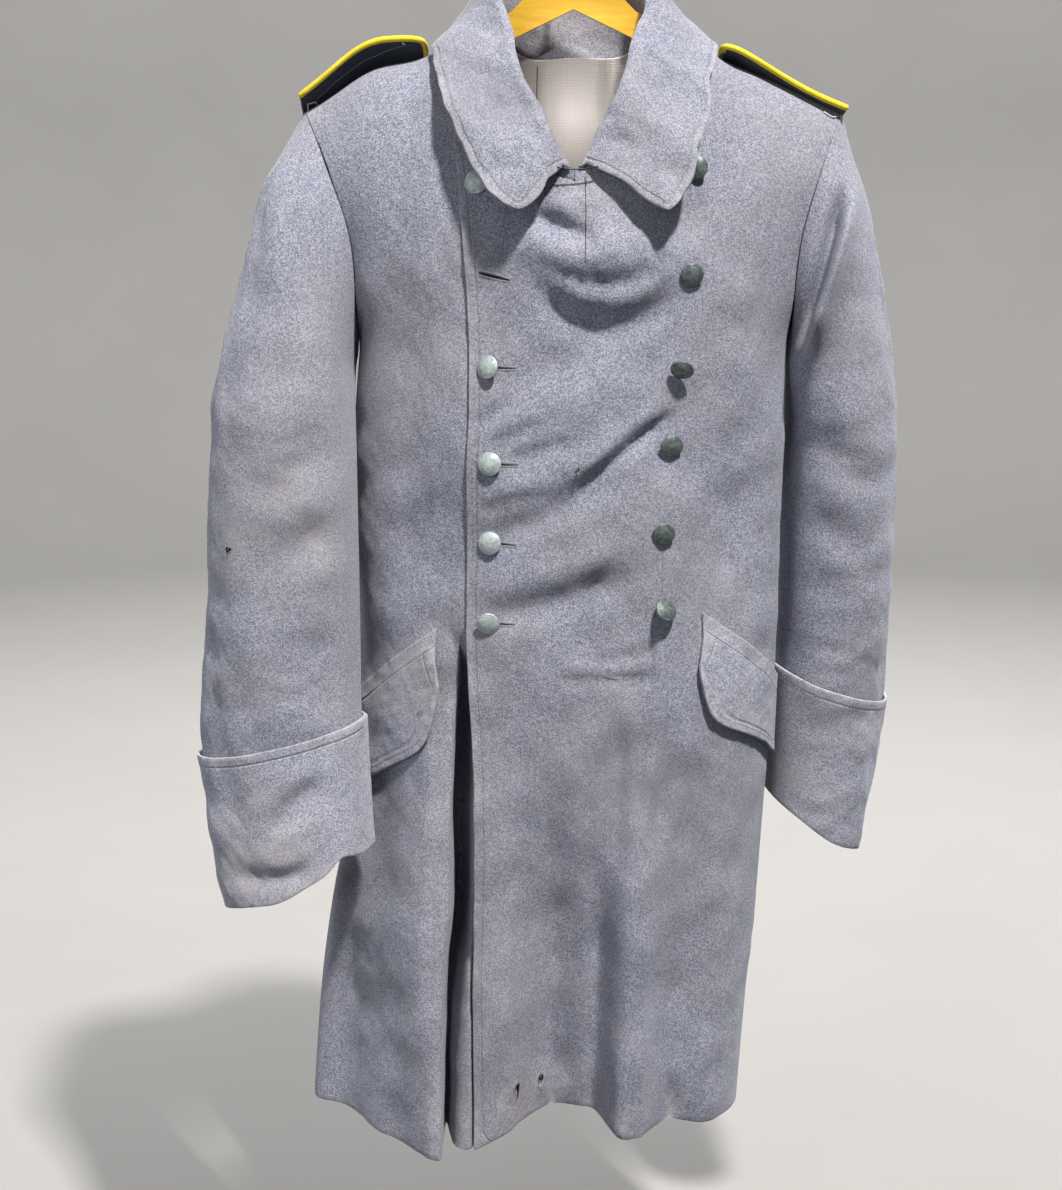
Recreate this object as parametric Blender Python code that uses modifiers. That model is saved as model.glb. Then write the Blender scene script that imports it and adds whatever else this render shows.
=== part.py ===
"""Double-breasted wool greatcoat, buttoned and empty, on a flat hanger.

Units are metres. +Z is up, -Y is the coat's front and +X is the wearer's left.
The origin is the inside top of the hanger's hook, where a rail or a nail carries it.
Right and left are the wearer's. The left front laps over the right front.
"""

import math
from bisect import bisect_right
from collections import namedtuple

import bmesh
import bpy
import numpy as np
from mathutils import Matrix, Vector
from mathutils.bvhtree import BVHTree

# Cloth, in metres
WALL = 0.003            # heavy fulled wool
COLLAR_WALL = 0.004     # collar, two layers pressed together
CUFF_WALL = 0.003       # turned-back cuff
LINING_WALL = 0.0012
LINING_CLEAR = 0.0012   # between the lining and the back
GAP = 0.0003            # between pieces that are sewn together
LAP_GAP = 0.0006        # between the two fronts where they lap
SEAM_TURN = math.radians(0.16)      # half a seam's gap, as a turn round the body
SHOULDER_TURN = math.radians(0.35)  # half a seam's gap, as a turn over the shoulder

# Main heights and half widths
HEM_Z = -1.285
NECK_HALF = 0.075       # centre to the side of the neck
NECK_POINT_Z = -0.165
FRONT_NECK_DROP = 0.149
BACK_NECK_DROP = 0.050
SHOULDER_ROUND = 0.25   # height over which the fronts lean back to the shoulder seam
ARMHOLE_OPEN = math.radians(34)
RIGHT_EDGE_X = 0.100    # hidden edge of the right front
EDGE_TOP_X = -0.114     # lap edge at its top corner

# Outline of the body at each height: the sides from the front, and the depths
Level = namedtuple("Level", "z right left side front back")
LEVELS = (
    Level(-1.290, -0.274, 0.179, -0.008, 0.130, 0.118),
    Level(-1.150, -0.262, 0.188, -0.006, 0.130, 0.110),
    Level(-1.050, -0.247, 0.196, -0.004, 0.128, 0.104),
    Level(-0.980, -0.232, 0.200, -0.002, 0.127, 0.099),
    Level(-0.900, -0.221, 0.205, 0.000, 0.126, 0.094),
    Level(-0.810, -0.218, 0.210, 0.000, 0.124, 0.088),
    Level(-0.720, -0.217, 0.209, 0.000, 0.122, 0.086),
    Level(-0.610, -0.219, 0.212, 0.000, 0.122, 0.092),
    Level(-0.550, -0.217, 0.212, 0.000, 0.122, 0.095),
    Level(-0.500, -0.212, 0.212, 0.000, 0.121, 0.098),
    Level(-0.440, -0.212, 0.215, 0.000, 0.119, 0.099),
    Level(-0.383, -0.215, 0.219, 0.000, 0.116, 0.097),
    Level(-0.310, -0.238, 0.240, 0.000, 0.110, 0.092),
    Level(-0.255, -0.263, 0.263, 0.000, 0.104, 0.088),
)

# Shoulder line, by distance from the centre
Shoulder = namedtuple("Shoulder", "x z")
SHOULDERS = (
    Shoulder(0.000, -0.162),
    Shoulder(0.075, NECK_POINT_Z),
    Shoulder(0.105, -0.186),
    Shoulder(0.135, -0.207),
    Shoulder(0.200, -0.235),
    Shoulder(0.266, -0.264),
)

# Edge of the left front, which shows all the way down
Edge = namedtuple("Edge", "z x")
LAP_EDGE = (
    Edge(-1.290, -0.098),
    Edge(-1.080, -0.099),
    Edge(-0.920, -0.096),
    Edge(-0.760, -0.104),
    Edge(-0.620, -0.102),
    Edge(-0.530, -0.099),
    Edge(-0.430, -0.102),
    Edge(-0.340, -0.108),
    Edge(-0.280, EDGE_TOP_X),
)

# Hem of the fronts, which is worn and uneven
Hem = namedtuple("Hem", "x z")
FRONT_HEM = (
    Hem(-0.280, -1.279),
    Hem(-0.200, -1.281),
    Hem(-0.137, -1.288),
    Hem(-0.098, -1.285),
    Hem(-0.059, -1.268),
    Hem(-0.020, -1.260),
    Hem(0.025, -1.262),
    Hem(0.054, -1.275),
    Hem(0.094, -1.271),
    Hem(0.140, -1.281),
    Hem(0.185, -1.285),
)
BACK_HEM_Z = -1.282

# Folds that run down to the hem. A positive depth stands out, a negative one is a trough
Fold = namedtuple("Fold", "x_top z_top x_hem half_width depth")
FRONT_FOLDS = (
    Fold(-0.205, -0.84, -0.236, 0.048, -0.034),
    Fold(-0.150, -0.76, -0.140, 0.046, 0.030),
    Fold(-0.035, -0.82, -0.012, 0.064, -0.058),
    Fold(0.055, -0.86, 0.057, 0.034, 0.010),
    Fold(0.105, -0.85, 0.104, 0.034, -0.020),
)
BACK_FOLDS = (
    Fold(-0.075, -0.72, -0.120, 0.050, -0.022),
    Fold(-0.150, -0.80, -0.205, 0.045, 0.016),
    Fold(0.010, -0.76, -0.025, 0.055, 0.018),
    Fold(0.085, -0.70, 0.085, 0.046, -0.022),
)

# Places where the chest cloth stands out or falls in, away from the folds
Swell = namedtuple("Swell", "x z half_x half_z height")
FRONT_SWELLS = (
    Swell(0.024, -0.388, 0.092, 0.060, 0.019),
    Swell(0.022, -0.470, 0.105, 0.046, -0.010),
)

# Deep gap in the right front beside the lap, below the lowest button
LAP_GAP_TOP_Z = -0.74
LAP_GAP_RUN = 0.13
LAP_GAP_HALF = 0.025
LAP_GAP_DEPTH = 0.034
LAP_GAP_FROM_EDGE = 0.013

# Columns of the fronts as shares of each stretch between two lines, in order
SIDE_TO_EDGE = (0.0, 0.15, 0.30, 0.43, 0.54, 0.63, 0.71, 0.78, 0.84, 0.89, 0.94, 1.0)
EDGE_TO_CENTRE = (0.12, 1 - NECK_HALF / -EDGE_TOP_X, 0.41, 0.60, 0.80, 1.0)
CENTRE_TO_EDGE = (0.23, 0.46, 0.67, NECK_HALF / RIGHT_EDGE_X, 1.0)
EDGE_TO_SIDE = (0.20, 0.40, 0.58, 0.74, 0.88, 1.0)
SIDE_TO_NECK = (0.0, 0.14, 0.32, 0.54, 0.77, 1.0)
NECK_TO_CENTRE = (0.06, 0.20, 0.50, 1.0)

# Rows, from the hem to the underarm and on over the shoulder
HEM_ROWS = 16
CHEST_ROWS = 4
YOKE_ROWS = 6
LINING_COLUMN = 1       # column of the back at which the lining starts
LINING_SHORT_ROWS = 3   # rows by which it stops short of the shoulder seam
SIDE_LAP_TURN = math.radians(51)    # how far up the lean the lap's top line runs at the sides
CENTRE_LAP_TURN = math.radians(70)  # and at the centre front

# Sleeves: the outer and inner edge of each section from the front, its middle and half depth
Ring = namedtuple("Ring", "outer_x outer_z inner_x inner_z mid_y half_depth")
RIGHT_SLEEVE = (
    Ring(0.291, -0.316, 0.2150, -0.515, -0.012, 0.080),
    Ring(0.320, -0.400, 0.2140, -0.545, -0.032, 0.079),
    Ring(0.339, -0.490, 0.2125, -0.585, -0.046, 0.073),
    Ring(0.352, -0.575, 0.2115, -0.635, -0.056, 0.067),
    Ring(0.361, -0.705, 0.2105, -0.720, -0.064, 0.061),
    Ring(0.366, -0.800, 0.2100, -0.790, -0.070, 0.057),
    Ring(0.368, -0.886, 0.2090, -0.847, -0.078, 0.054),
    Ring(0.346, -1.038, 0.2010, -0.976, -0.090, 0.050),
)
LEFT_SLEEVE = (
    Ring(0.278, -0.316, 0.2145, -0.515, 0.010, 0.082),
    Ring(0.300, -0.388, 0.2150, -0.545, 0.020, 0.083),
    Ring(0.315, -0.470, 0.2145, -0.585, 0.026, 0.082),
    Ring(0.326, -0.570, 0.2140, -0.635, 0.030, 0.079),
    Ring(0.333, -0.700, 0.2125, -0.720, 0.034, 0.075),
    Ring(0.332, -0.785, 0.2120, -0.770, 0.036, 0.071),
    Ring(0.326, -0.857, 0.2110, -0.815, 0.038, 0.067),
    Ring(0.303, -1.018, 0.2080, -0.952, 0.040, 0.062),
)
CUFF_TOP_RING = 6       # row of the table that the cuff's top edge follows
SLEEVE_STEPS = 2        # sections between two rows of the table
ARMHOLE_GAP = 0.001
CAP_TURN = math.radians(60)  # how far round the sleeve its cap follows the shoulder
FRONT_SEAM = 0          # stations from the underarm to the front seam
BACK_SEAM = 5           # and to the back seam
CUFF_CLEAR = 0.0009     # sleeve to cuff at the mouth
CUFF_FLARE = 0.0014     # and how much more at the cuff's top edge
CUFF_ROWS = 5
MOUTH_TUCK = 0.03       # share of the cuff by which the sleeve stops short of its mouth

# Collar, from the centre front round to the centre back on each side
Fall = namedtuple("Fall", "share roll_x roll_y roll_z edge_x edge_y edge_z")
RIGHT_COLLAR = (
    Fall(0.00, 0.004, -0.105, -0.317, 0.046, -0.138, -0.353),
    Fall(0.14, 0.021, -0.103, -0.288, 0.073, -0.135, -0.337),
    Fall(0.28, 0.037, -0.095, -0.257, 0.100, -0.119, -0.301),
    Fall(0.42, 0.049, -0.083, -0.230, 0.120, -0.093, -0.260),
    Fall(0.55, 0.061, -0.064, -0.198, 0.131, -0.056, -0.226),
    Fall(0.67, 0.071, -0.036, -0.162, 0.136, -0.016, -0.203),
    Fall(0.78, 0.076, -0.002, -0.136, 0.132, 0.030, -0.203),
    Fall(0.88, 0.064, 0.036, -0.130, 0.098, 0.072, -0.219),
    Fall(1.00, 0.000, 0.058, -0.133, 0.000, 0.090, -0.232),
)
LEFT_COLLAR = (
    Fall(0.00, 0.006, -0.105, -0.317, 0.087, -0.137, -0.362),
    Fall(0.14, 0.021, -0.103, -0.287, 0.101, -0.130, -0.333),
    Fall(0.28, 0.035, -0.095, -0.256, 0.112, -0.114, -0.299),
    Fall(0.42, 0.047, -0.083, -0.230, 0.122, -0.091, -0.262),
    Fall(0.55, 0.058, -0.064, -0.198, 0.131, -0.056, -0.226),
    Fall(0.67, 0.069, -0.036, -0.162, 0.135, -0.016, -0.203),
    Fall(0.78, 0.075, -0.002, -0.136, 0.131, 0.030, -0.203),
    Fall(0.88, 0.064, 0.036, -0.130, 0.098, 0.072, -0.219),
    Fall(1.00, 0.000, 0.058, -0.133, 0.000, 0.090, -0.232),
)
COLLAR_SHARES = (0.03, 0.11, 0.21, 0.32, 0.43, 0.54, 0.63, 0.69, 0.72, 0.75, 0.82, 0.91, 1.0)
NECK_MIDDLE = Vector((0.0, -0.015, -0.150))
NECK_SIDE_SHARE = 0.72  # share of the way round at which the neck seam crosses the shoulder
COLLAR_IN = 0.0038      # middle of the stand, inside the neck seam
ROLL_RADIUS = 0.0065    # at the collar's fold
LEAF_CLEAR = 0.0025     # between the leaf's underside and the cloth below it

# Pockets: the flap's top line from its front end to the side, on each front
Pocket = namedtuple("Pocket", "front_x front_z side_turn side_z")
RIGHT_POCKET = Pocket(-0.134, -0.772, math.radians(-84), -0.858)
LEFT_POCKET = Pocket(0.127, -0.756, math.radians(84), -0.838)
WELT_HEIGHT = 0.017
FLAP_FRONT = 0.030      # straight part of the flap's front edge
FLAP_DEPTH = 0.064
FLAP_ROUND = 0.034      # length of the flap's round corner
FLAP_CLEAR = 0.0010
FLAP_PROUD = 0.003      # how far the flap's lower edge stands off the coat

# Buttons: the place on the left front, and how far each hangs over and which way
BUTTON_RADIUS = 0.0113
BUTTON_HEIGHT = 0.0052
BUTTON_SIDES = 12
BUTTON_GAP = 0.0004     # between a button and the cloth
Button = namedtuple("Button", "name x z droop turn")
BUTTONS = (
    Button("button_right_1", -0.092, -0.327, 0, 0),
    Button("button_right_3", -0.081, -0.498, 20, 150),
    Button("button_right_4", -0.079, -0.589, 6, 90),
    Button("button_right_5", -0.081, -0.667, 4, 90),
    Button("button_right_6", -0.082, -0.745, 18, 300),
    Button("button_left_1", 0.112, -0.314, 24, 200),
    Button("button_left_2", 0.109, -0.412, 18, 250),
    Button("button_left_3", 0.100, -0.500, 48, 240),
    Button("button_left_4", 0.093, -0.574, 14, 260),
    Button("button_left_5", 0.085, -0.657, 16, 250),
    Button("button_left_6", 0.087, -0.732, 34, 60),
)

# Rips near the hem, as slots through the left front
Rip = namedtuple("Rip", "x z half_width half_height lean")
RIPS = (
    Rip(-0.057, -1.236, 0.0032, 0.0130, 12),
    Rip(-0.031, -1.231, 0.0030, 0.0065, 8),
)
RIP_SIDES = 10
RIP_CUT_LENGTH = 0.040

# Shoulder straps
STRAP_INNER_X = 0.146
STRAP_OUTER_X = 0.262
STRAP_WIDTH = 0.040
STRAP_THICK = 0.0036
STRAP_TILT = math.radians(27)   # front edge up
STRAP_BOW = 0.004
STRAP_LIFT = 0.004              # end at the neck, above the shoulder
STRAP_ROUND = 0.014             # rounding of the end at the neck
STRAP_STATIONS = 8
STRAP_LINES = 4
STRAP_CLEAR = 0.0012
PIPING_RADIUS = 0.0018
PIPING_SIDES = 1                # bevel resolution, which gives six sides

# Hook and eye at the neck
CATCH_WIRE = 0.0008
CATCH_REACH = 0.002     # how far the wire runs on to each collar end
CATCH_DROP = 0.0025
CATCH_GAP = 0.0009
CATCH_POINTS = 7

# Hanger
HANGER_THICK = 0.014
HANGER_HALF = 0.238
HANGER_TOP_Z = -0.118
HANGER_UNDER_Z = -0.165
HANGER_SLOPE = 0.47
HANGER_BELOW_SHOULDER = 0.0081
HANGER_POINTS = 8
HOOK_WIRE = 0.0021
HOOK_RADIUS = 0.028
HOOK_STEM_Z = -0.078

# Colours, as base colour, roughness and metallic value
Look = namedtuple("Look", "colour roughness metallic")
LOOKS = {
    "wool": Look((0.235, 0.250, 0.310), 0.95, 0.0),
    "lining": Look((0.62, 0.52, 0.45), 0.85, 0.0),
    "strap": Look((0.022, 0.028, 0.045), 0.95, 0.0),
    "piping": Look((0.72, 0.58, 0.04), 0.80, 0.0),
    "button": Look((0.36, 0.40, 0.38), 0.50, 0.85),
    "wire": Look((0.45, 0.45, 0.44), 0.35, 1.0),
    "hanger": Look((0.90, 0.55, 0.04), 0.45, 0.0),
}


def smooth(rows, name, at):
    """The named column of a table at a key between its rows, on a smooth curve through them."""
    keys = [row[0] for row in rows]
    values = [getattr(row, name) for row in rows]
    if at <= keys[0]:
        return values[0]
    if at >= keys[-1]:
        return values[-1]
    i = bisect_right(keys, at) - 1

    def slope(k):
        before, after = max(k - 1, 0), min(k + 1, len(keys) - 1)
        return (values[after] - values[before]) / (keys[after] - keys[before])

    span = keys[i + 1] - keys[i]
    t = (at - keys[i]) / span
    start, end = slope(i) * span, slope(i + 1) * span
    rise = values[i + 1] - values[i]
    return values[i] + t * (start + t * (3 * rise - 2 * start - end + t * (start + end - 2 * rise)))


def ease(t):
    """0 to 1 with no corner at either end."""
    t = min(max(t, 0.0), 1.0)
    return t * t * (3 - 2 * t)


def blend(a, b, t):
    return a + (b - a) * t


def shoulder_z(x):
    return smooth(SHOULDERS, "z", abs(x))


def lap_edge_x(z):
    return smooth(LAP_EDGE, "x", z)


def armhole_turn(lean):
    """Turn round the body of the side seam or, above the underarm, of the armhole's edge."""
    above = min(1.0, (math.pi / 2 - lean) / math.radians(45))
    return math.pi / 2 - ARMHOLE_OPEN * math.sqrt(max(above, 0.0))


def lean_at(x, z):
    """How far the cloth still stands upright: a right angle below the yoke, 0 on the shoulder line."""
    drop = (shoulder_z(x) - z) / SHOULDER_ROUND
    return math.acos(min(max(1 - drop, 0.0), 1.0))


def span_at(z, lean):
    """Middle and half width of the body's section, as if it ran on under the arm."""
    right, left = smooth(LEVELS, "right", z), smooth(LEVELS, "left", z)
    return (right + left) / 2, (left - right) / 2 / math.sin(armhole_turn(lean))


def turn_of(x, z, lean):
    """Turn round the body at which the section reaches x."""
    middle, half = span_at(z, lean)
    return math.asin(min(max((x - middle) / half, -1.0), 1.0))


def relief(folds, swells, x, z):
    """How far folds and swells move the cloth out."""
    out = 0.0
    for fold in folds:
        down = (fold.z_top - z) / (fold.z_top - HEM_Z)
        across = (x - blend(fold.x_top, fold.x_hem, min(max(down, 0.0), 1.0))) / fold.half_width
        if down > 0 and abs(across) < 1:
            out += fold.depth * ease(down) * (1 + math.cos(math.pi * across)) / 2
    for swell in swells:
        away = math.hypot((x - swell.x) / swell.half_x, (z - swell.z) / swell.half_z)
        if away < 1:
            out += swell.height * (1 + math.cos(math.pi * away)) / 2
    return out


def front_point(turn, z, lean):
    """A point on the outside of the fronts, by its turn from the centre."""
    middle, half = span_at(z, lean)
    x = middle + half * math.sin(turn)
    depth = smooth(LEVELS, "front", z) * math.cos(turn) * math.sin(lean)
    calm = ease(math.cos(turn) / 0.35)
    return Vector((x, smooth(LEVELS, "side", z) - depth - calm * relief(FRONT_FOLDS, FRONT_SWELLS, x, z), z))


def back_point(turn, z, lean):
    """A point on the outside of the back, by its turn from the centre."""
    middle, half = span_at(z, lean)
    x = middle + half * math.sin(turn)
    depth = smooth(LEVELS, "back", z) * math.cos(turn) * math.sin(lean)
    calm = ease(math.cos(turn) / 0.35)
    return Vector((x, smooth(LEVELS, "side", z) + depth + calm * relief(BACK_FOLDS, (), x, z), z))


def front_at(x, z):
    lean = lean_at(x, z)
    return front_point(turn_of(x, z, lean), z, lean)


def front_by_turn(turn, z):
    """The point at a turn and a height, with the lean that belongs there."""
    lean = math.pi / 2
    for _ in range(4):
        place = front_point(turn, z, lean)
        lean = lean_at(place.x, z)
    return place


def front_normal(turn, z):
    """Direction out of the fronts at a point."""
    step = 0.006
    across = front_by_turn(turn + step, z) - front_by_turn(turn - step, z)
    up = front_by_turn(turn, z + step) - front_by_turn(turn, z - step)
    return across.cross(up).normalized()


def neckline_z(x, drop):
    """Height of the neck seam, which is round at the front and flatter at the back."""
    share = min(abs(x) / NECK_HALF, 1.0)
    power = 2 if drop == FRONT_NECK_DROP else 3.5
    return NECK_POINT_Z - drop * math.sqrt(1 - share ** power)


def top_lean(x, drop):
    """Lean at which a column ends: on the shoulder seam, or at the neckline."""
    if abs(x) >= NECK_HALF - 1e-4:
        return SHOULDER_TURN
    return max(lean_at(x, neckline_z(x, drop)), SHOULDER_TURN)


def rows_of():
    """Rows from the hem up, each as the stretch it is in and its share of that stretch."""
    rows = [("hem", i / HEM_ROWS) for i in range(HEM_ROWS)]
    rows += [("chest", i / CHEST_ROWS) for i in range(CHEST_ROWS)]
    return rows + [("yoke", i / YOKE_ROWS) for i in range(YOKE_ROWS + 1)]


def settle(column_turn, row, lap_lean, drop, hem, point):
    """The point where a column meets a row. Its height and its place across depend on each other."""
    stretch, share = row
    x, z, lean = 0.0, -0.6, math.pi / 2
    for _ in range(12):
        lean = math.pi / 2
        if stretch == "chest":
            lean = blend(math.pi / 2, lap_lean(x), share)
        elif stretch == "yoke":
            lean = blend(lap_lean(x), top_lean(x, drop), share)
        z = shoulder_z(x) - SHOULDER_ROUND * (1 - math.cos(lean))
        if stretch == "hem":
            z = blend(hem(x), z, share)
        place = point(column_turn(z, lean), z, lean)
        x = place.x
    return place


def front_columns():
    """Each column of the fronts as a function that gives its turn at a height."""
    def between(start, end, share):
        return lambda z, lean: blend(start(z, lean), end(z, lean), share)

    def side(sign):
        return lambda z, lean: sign * (armhole_turn(lean) - SEAM_TURN)

    def line(x_of):
        return lambda z, lean: turn_of(x_of(z), z, lean)

    edge, hidden = line(lap_edge_x), line(lambda z: RIGHT_EDGE_X)
    columns = [between(side(-1), edge, share) for share in SIDE_TO_EDGE]
    columns += [line(lambda z, s=share: lap_edge_x(z) * (1 - s)) for share in EDGE_TO_CENTRE]
    columns += [line(lambda z, s=share: RIGHT_EDGE_X * s) for share in CENTRE_TO_EDGE]
    columns += [between(hidden, side(1), share) for share in EDGE_TO_SIDE]
    return columns


def back_columns():
    """Columns of the back from the right side seam to the left one, with two at the centre seam."""
    def outside(sign, share):
        return lambda z, lean: blend(sign * (armhole_turn(lean) - SEAM_TURN),
                                     turn_of(sign * NECK_HALF, z, lean), share)

    def inside(sign, share):
        return lambda z, lean: turn_of(sign * max(NECK_HALF * (1 - share), GAP), z, lean)

    halves = {}
    for sign in (-1, 1):
        halves[sign] = [outside(sign, share) for share in SIDE_TO_NECK]
        halves[sign] += [inside(sign, share) for share in NECK_TO_CENTRE]
    return halves[-1] + halves[1][::-1]


def front_lap_lean(x):
    """Lean of the lap's top line, which dips at the centre front."""
    return blend(CENTRE_LAP_TURN, SIDE_LAP_TURN, ease(abs(x) / -EDGE_TOP_X))


def grid_of(columns, lap_lean, drop, hem, point):
    return np.array([[settle(column, row, lap_lean, drop, hem, point) for column in columns]
                     for row in rows_of()])


def normals_of(grid, closed=False):
    """Directions out of a grid of points, the side that its rows and columns turn towards."""
    up = np.gradient(grid, axis=0)
    if closed:
        across = (np.roll(grid, -1, axis=1) - np.roll(grid, 1, axis=1)) / 2
    else:
        across = np.gradient(grid, axis=1)
    out = np.cross(across, up)
    return out / np.linalg.norm(out, axis=2, keepdims=True)


def seam_normals(grid, out):
    """Square the directions along side and shoulder seams, so that pieces on both sides of one meet."""
    for edge in (0, -1):
        out[:HEM_ROWS + 1, edge, 1] = 0
    for column in range(grid.shape[1]):
        if abs(grid[-1, column, 0]) >= NECK_HALF - 1e-4:
            out[-1, column, 1] = 0
    return out / np.linalg.norm(out, axis=2, keepdims=True)


def material(name):
    """The named material, made once."""
    found = bpy.data.materials.get(name)
    if found:
        return found
    look = LOOKS[name]
    made = bpy.data.materials.new(name)
    made.use_nodes = True
    shader = made.node_tree.nodes["Principled BSDF"]
    shader.inputs["Base Color"].default_value = (*look.colour, 1.0)
    shader.inputs["Roughness"].default_value = look.roughness
    shader.inputs["Metallic"].default_value = look.metallic
    made.diffuse_color = (*look.colour, 1.0)
    return made


def add(name, data, look, collection):
    """A named object with its material, in a collection."""
    data.materials.append(material(look))
    made = bpy.data.objects.new(name, data)
    collection.objects.link(made)
    return made


def wall(name, outer, inner, cells, look, collection):
    """A closed wall between two grids of points, over the cells given by row and column."""
    shell = bmesh.new()
    made = {}

    def vertex(layer, row, column):
        key = (layer, row, column % outer.shape[1])
        if key not in made:
            made[key] = shell.verts.new((outer, inner)[layer][key[1], key[2]])
        return made[key]

    rim = set()
    for row, column in cells:
        corners = [(row, column), (row, column + 1), (row + 1, column + 1), (row + 1, column)]
        for layer in (0, 1):
            a, b, c, d = (vertex(layer, *corner) for corner in corners)
            shell.faces.new((a, b, c))
            shell.faces.new((a, c, d))
        corners = [(r, c % outer.shape[1]) for r, c in corners]
        for ends in zip(corners, corners[1:] + corners[:1]):
            rim ^= {tuple(sorted(ends))}
    for start, end in sorted(rim):
        shell.faces.new((vertex(0, *start), vertex(0, *end), vertex(1, *end)))
        shell.faces.new((vertex(0, *start), vertex(1, *end), vertex(1, *start)))
    bmesh.ops.recalc_face_normals(shell, faces=shell.faces)
    data = bpy.data.meshes.new(name)
    shell.to_mesh(data)
    shell.free()
    data.shade_smooth()
    data.set_sharp_from_angle(angle=math.radians(50))
    return add(name, data, look, collection)


def all_cells(grid, closed=False):
    rows, columns = grid.shape[0] - 1, grid.shape[1] - (0 if closed else 1)
    return [(row, column) for row in range(rows) for column in range(columns)]


def build_fronts(collection):
    """Both fronts from one grid: the right front lies under the left one where they lap."""
    grid = grid_of(front_columns(), front_lap_lean, FRONT_NECK_DROP,
                   lambda x: smooth(FRONT_HEM, "z", x), front_point)
    out = seam_normals(grid, normals_of(grid))
    lap_row = HEM_ROWS + CHEST_ROWS
    edge = len(SIDE_TO_EDGE) - 1
    centre = edge + len(EDGE_TO_CENTRE)
    hidden = centre + len(CENTRE_TO_EDGE)
    cells = all_cells(grid)

    left = [(r, c) for r, c in cells if c >= edge and (r < lap_row or c >= centre)]
    front = wall("left_front", grid, grid - out * WALL, left, "wool", collection)
    cut_rips(front)

    under = grid.copy()
    for row in range(grid.shape[0]):
        for column in range(hidden + 1):
            place = grid[row, column]
            beside = abs(place[0] - lap_edge_x(place[2]) + LAP_GAP_FROM_EDGE) / LAP_GAP_HALF
            gap = LAP_GAP_DEPTH * ease((LAP_GAP_TOP_Z - place[2]) / LAP_GAP_RUN)
            gap *= (1 + math.cos(math.pi * min(beside, 1.0))) / 2
            tuck = (WALL + LAP_GAP) * ease((column - edge / 2) / (edge / 2))
            tuck *= 1 - max(row - lap_row, 0) / YOKE_ROWS
            under[row, column] = place - out[row, column] * tuck + np.array((0.0, gap, 0.0))
    under[lap_row + 1:, centre, 0] -= 2 * GAP
    inward = seam_normals(under, normals_of(under))
    right = [(r, c) for r, c in cells if c < hidden and (r < lap_row or c < centre)]
    wall("right_front", under, under - inward * WALL, right, "wool", collection)
    return grid, out


def cut_rips(front):
    """Slots through the left front where the hem is torn."""
    cutters = bpy.data.collections["cutters"]
    for number, rip in enumerate(RIPS, 1):
        tool = bmesh.new()
        bmesh.ops.create_cone(tool, cap_ends=True, segments=RIP_SIDES, radius1=1, radius2=1, depth=1)
        place = front_at(rip.x, rip.z)
        turn = Matrix.Rotation(math.radians(rip.lean), 4, "Y") @ Matrix.Rotation(math.pi / 2, 4, "X")
        size = Matrix.Diagonal((rip.half_width, rip.half_height, RIP_CUT_LENGTH, 1))
        bmesh.ops.transform(tool, matrix=Matrix.Translation(place) @ turn @ size, verts=tool.verts)
        bmesh.ops.recalc_face_normals(tool, faces=tool.faces)
        data = bpy.data.meshes.new(f"rip_{number}")
        tool.to_mesh(data)
        tool.free()
        cutter = bpy.data.objects.new(f"rip_{number}", data)
        cutter.hide_render = True
        cutter.display_type = "WIRE"
        cutters.objects.link(cutter)
        cut = front.modifiers.new(f"rip_{number}", "BOOLEAN")
        cut.operation = "DIFFERENCE"
        cut.object = cutter


def build_back(collection):
    """Two back panels, joined at the centre, and the lining that shows inside the neck."""
    grid = grid_of(back_columns(), lambda x: SIDE_LAP_TURN, BACK_NECK_DROP, lambda x: BACK_HEM_Z, back_point)
    out = -normals_of(grid)
    seam = grid.shape[1] // 2 - 1
    out[:, seam] = out[:, seam + 1] = out[:, seam] + out[:, seam + 1]
    out = seam_normals(grid, out)
    cells = all_cells(grid)
    halves = {"right": [c for c in cells if c[1] < seam], "left": [c for c in cells if c[1] > seam]}
    for side, picked in halves.items():
        wall(f"back_{side}", grid, grid - out * WALL, picked, "wool", collection)

    inside = grid - out * (WALL + LINING_CLEAR)
    first, last = LINING_COLUMN, grid.shape[1] - 1 - LINING_COLUMN
    neck = len(SIDE_TO_NECK) + 1
    far_neck = grid.shape[1] - 1 - neck
    shown = [(r, c) for r, c in cells if r >= HEM_ROWS and first <= c < last
             and (r < grid.shape[0] - 1 - LINING_SHORT_ROWS or neck <= c < far_neck)]
    wall("back_lining", inside, inside - out * LINING_WALL, shown, "lining", collection)
    return grid, out


def armhole_of(front_edge, back_edge):
    """Armhole from the shoulder tip down the front, under the arm and up the back."""
    tip = (front_edge[-1] + back_edge[-1]) / 2
    under = (front_edge[0] + back_edge[0]) / 2
    return np.array([tip, *front_edge[-2:0:-1], under, *back_edge[1:-1]])


def armhole_shares(armhole):
    """Angle round the sleeve for each point of the armhole, from the tip down the front and back up."""
    half = len(armhole) // 2
    closed = np.concatenate([armhole, armhole[:1]])
    along = np.concatenate([[0], np.cumsum(np.linalg.norm(np.diff(closed, axis=0), axis=1))])
    down, back = along[half], along[-1] - along[half]
    return [math.pi * (a / down if i <= half else 1 + (a - down) / back) for i, a in enumerate(along[:-1])]


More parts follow.
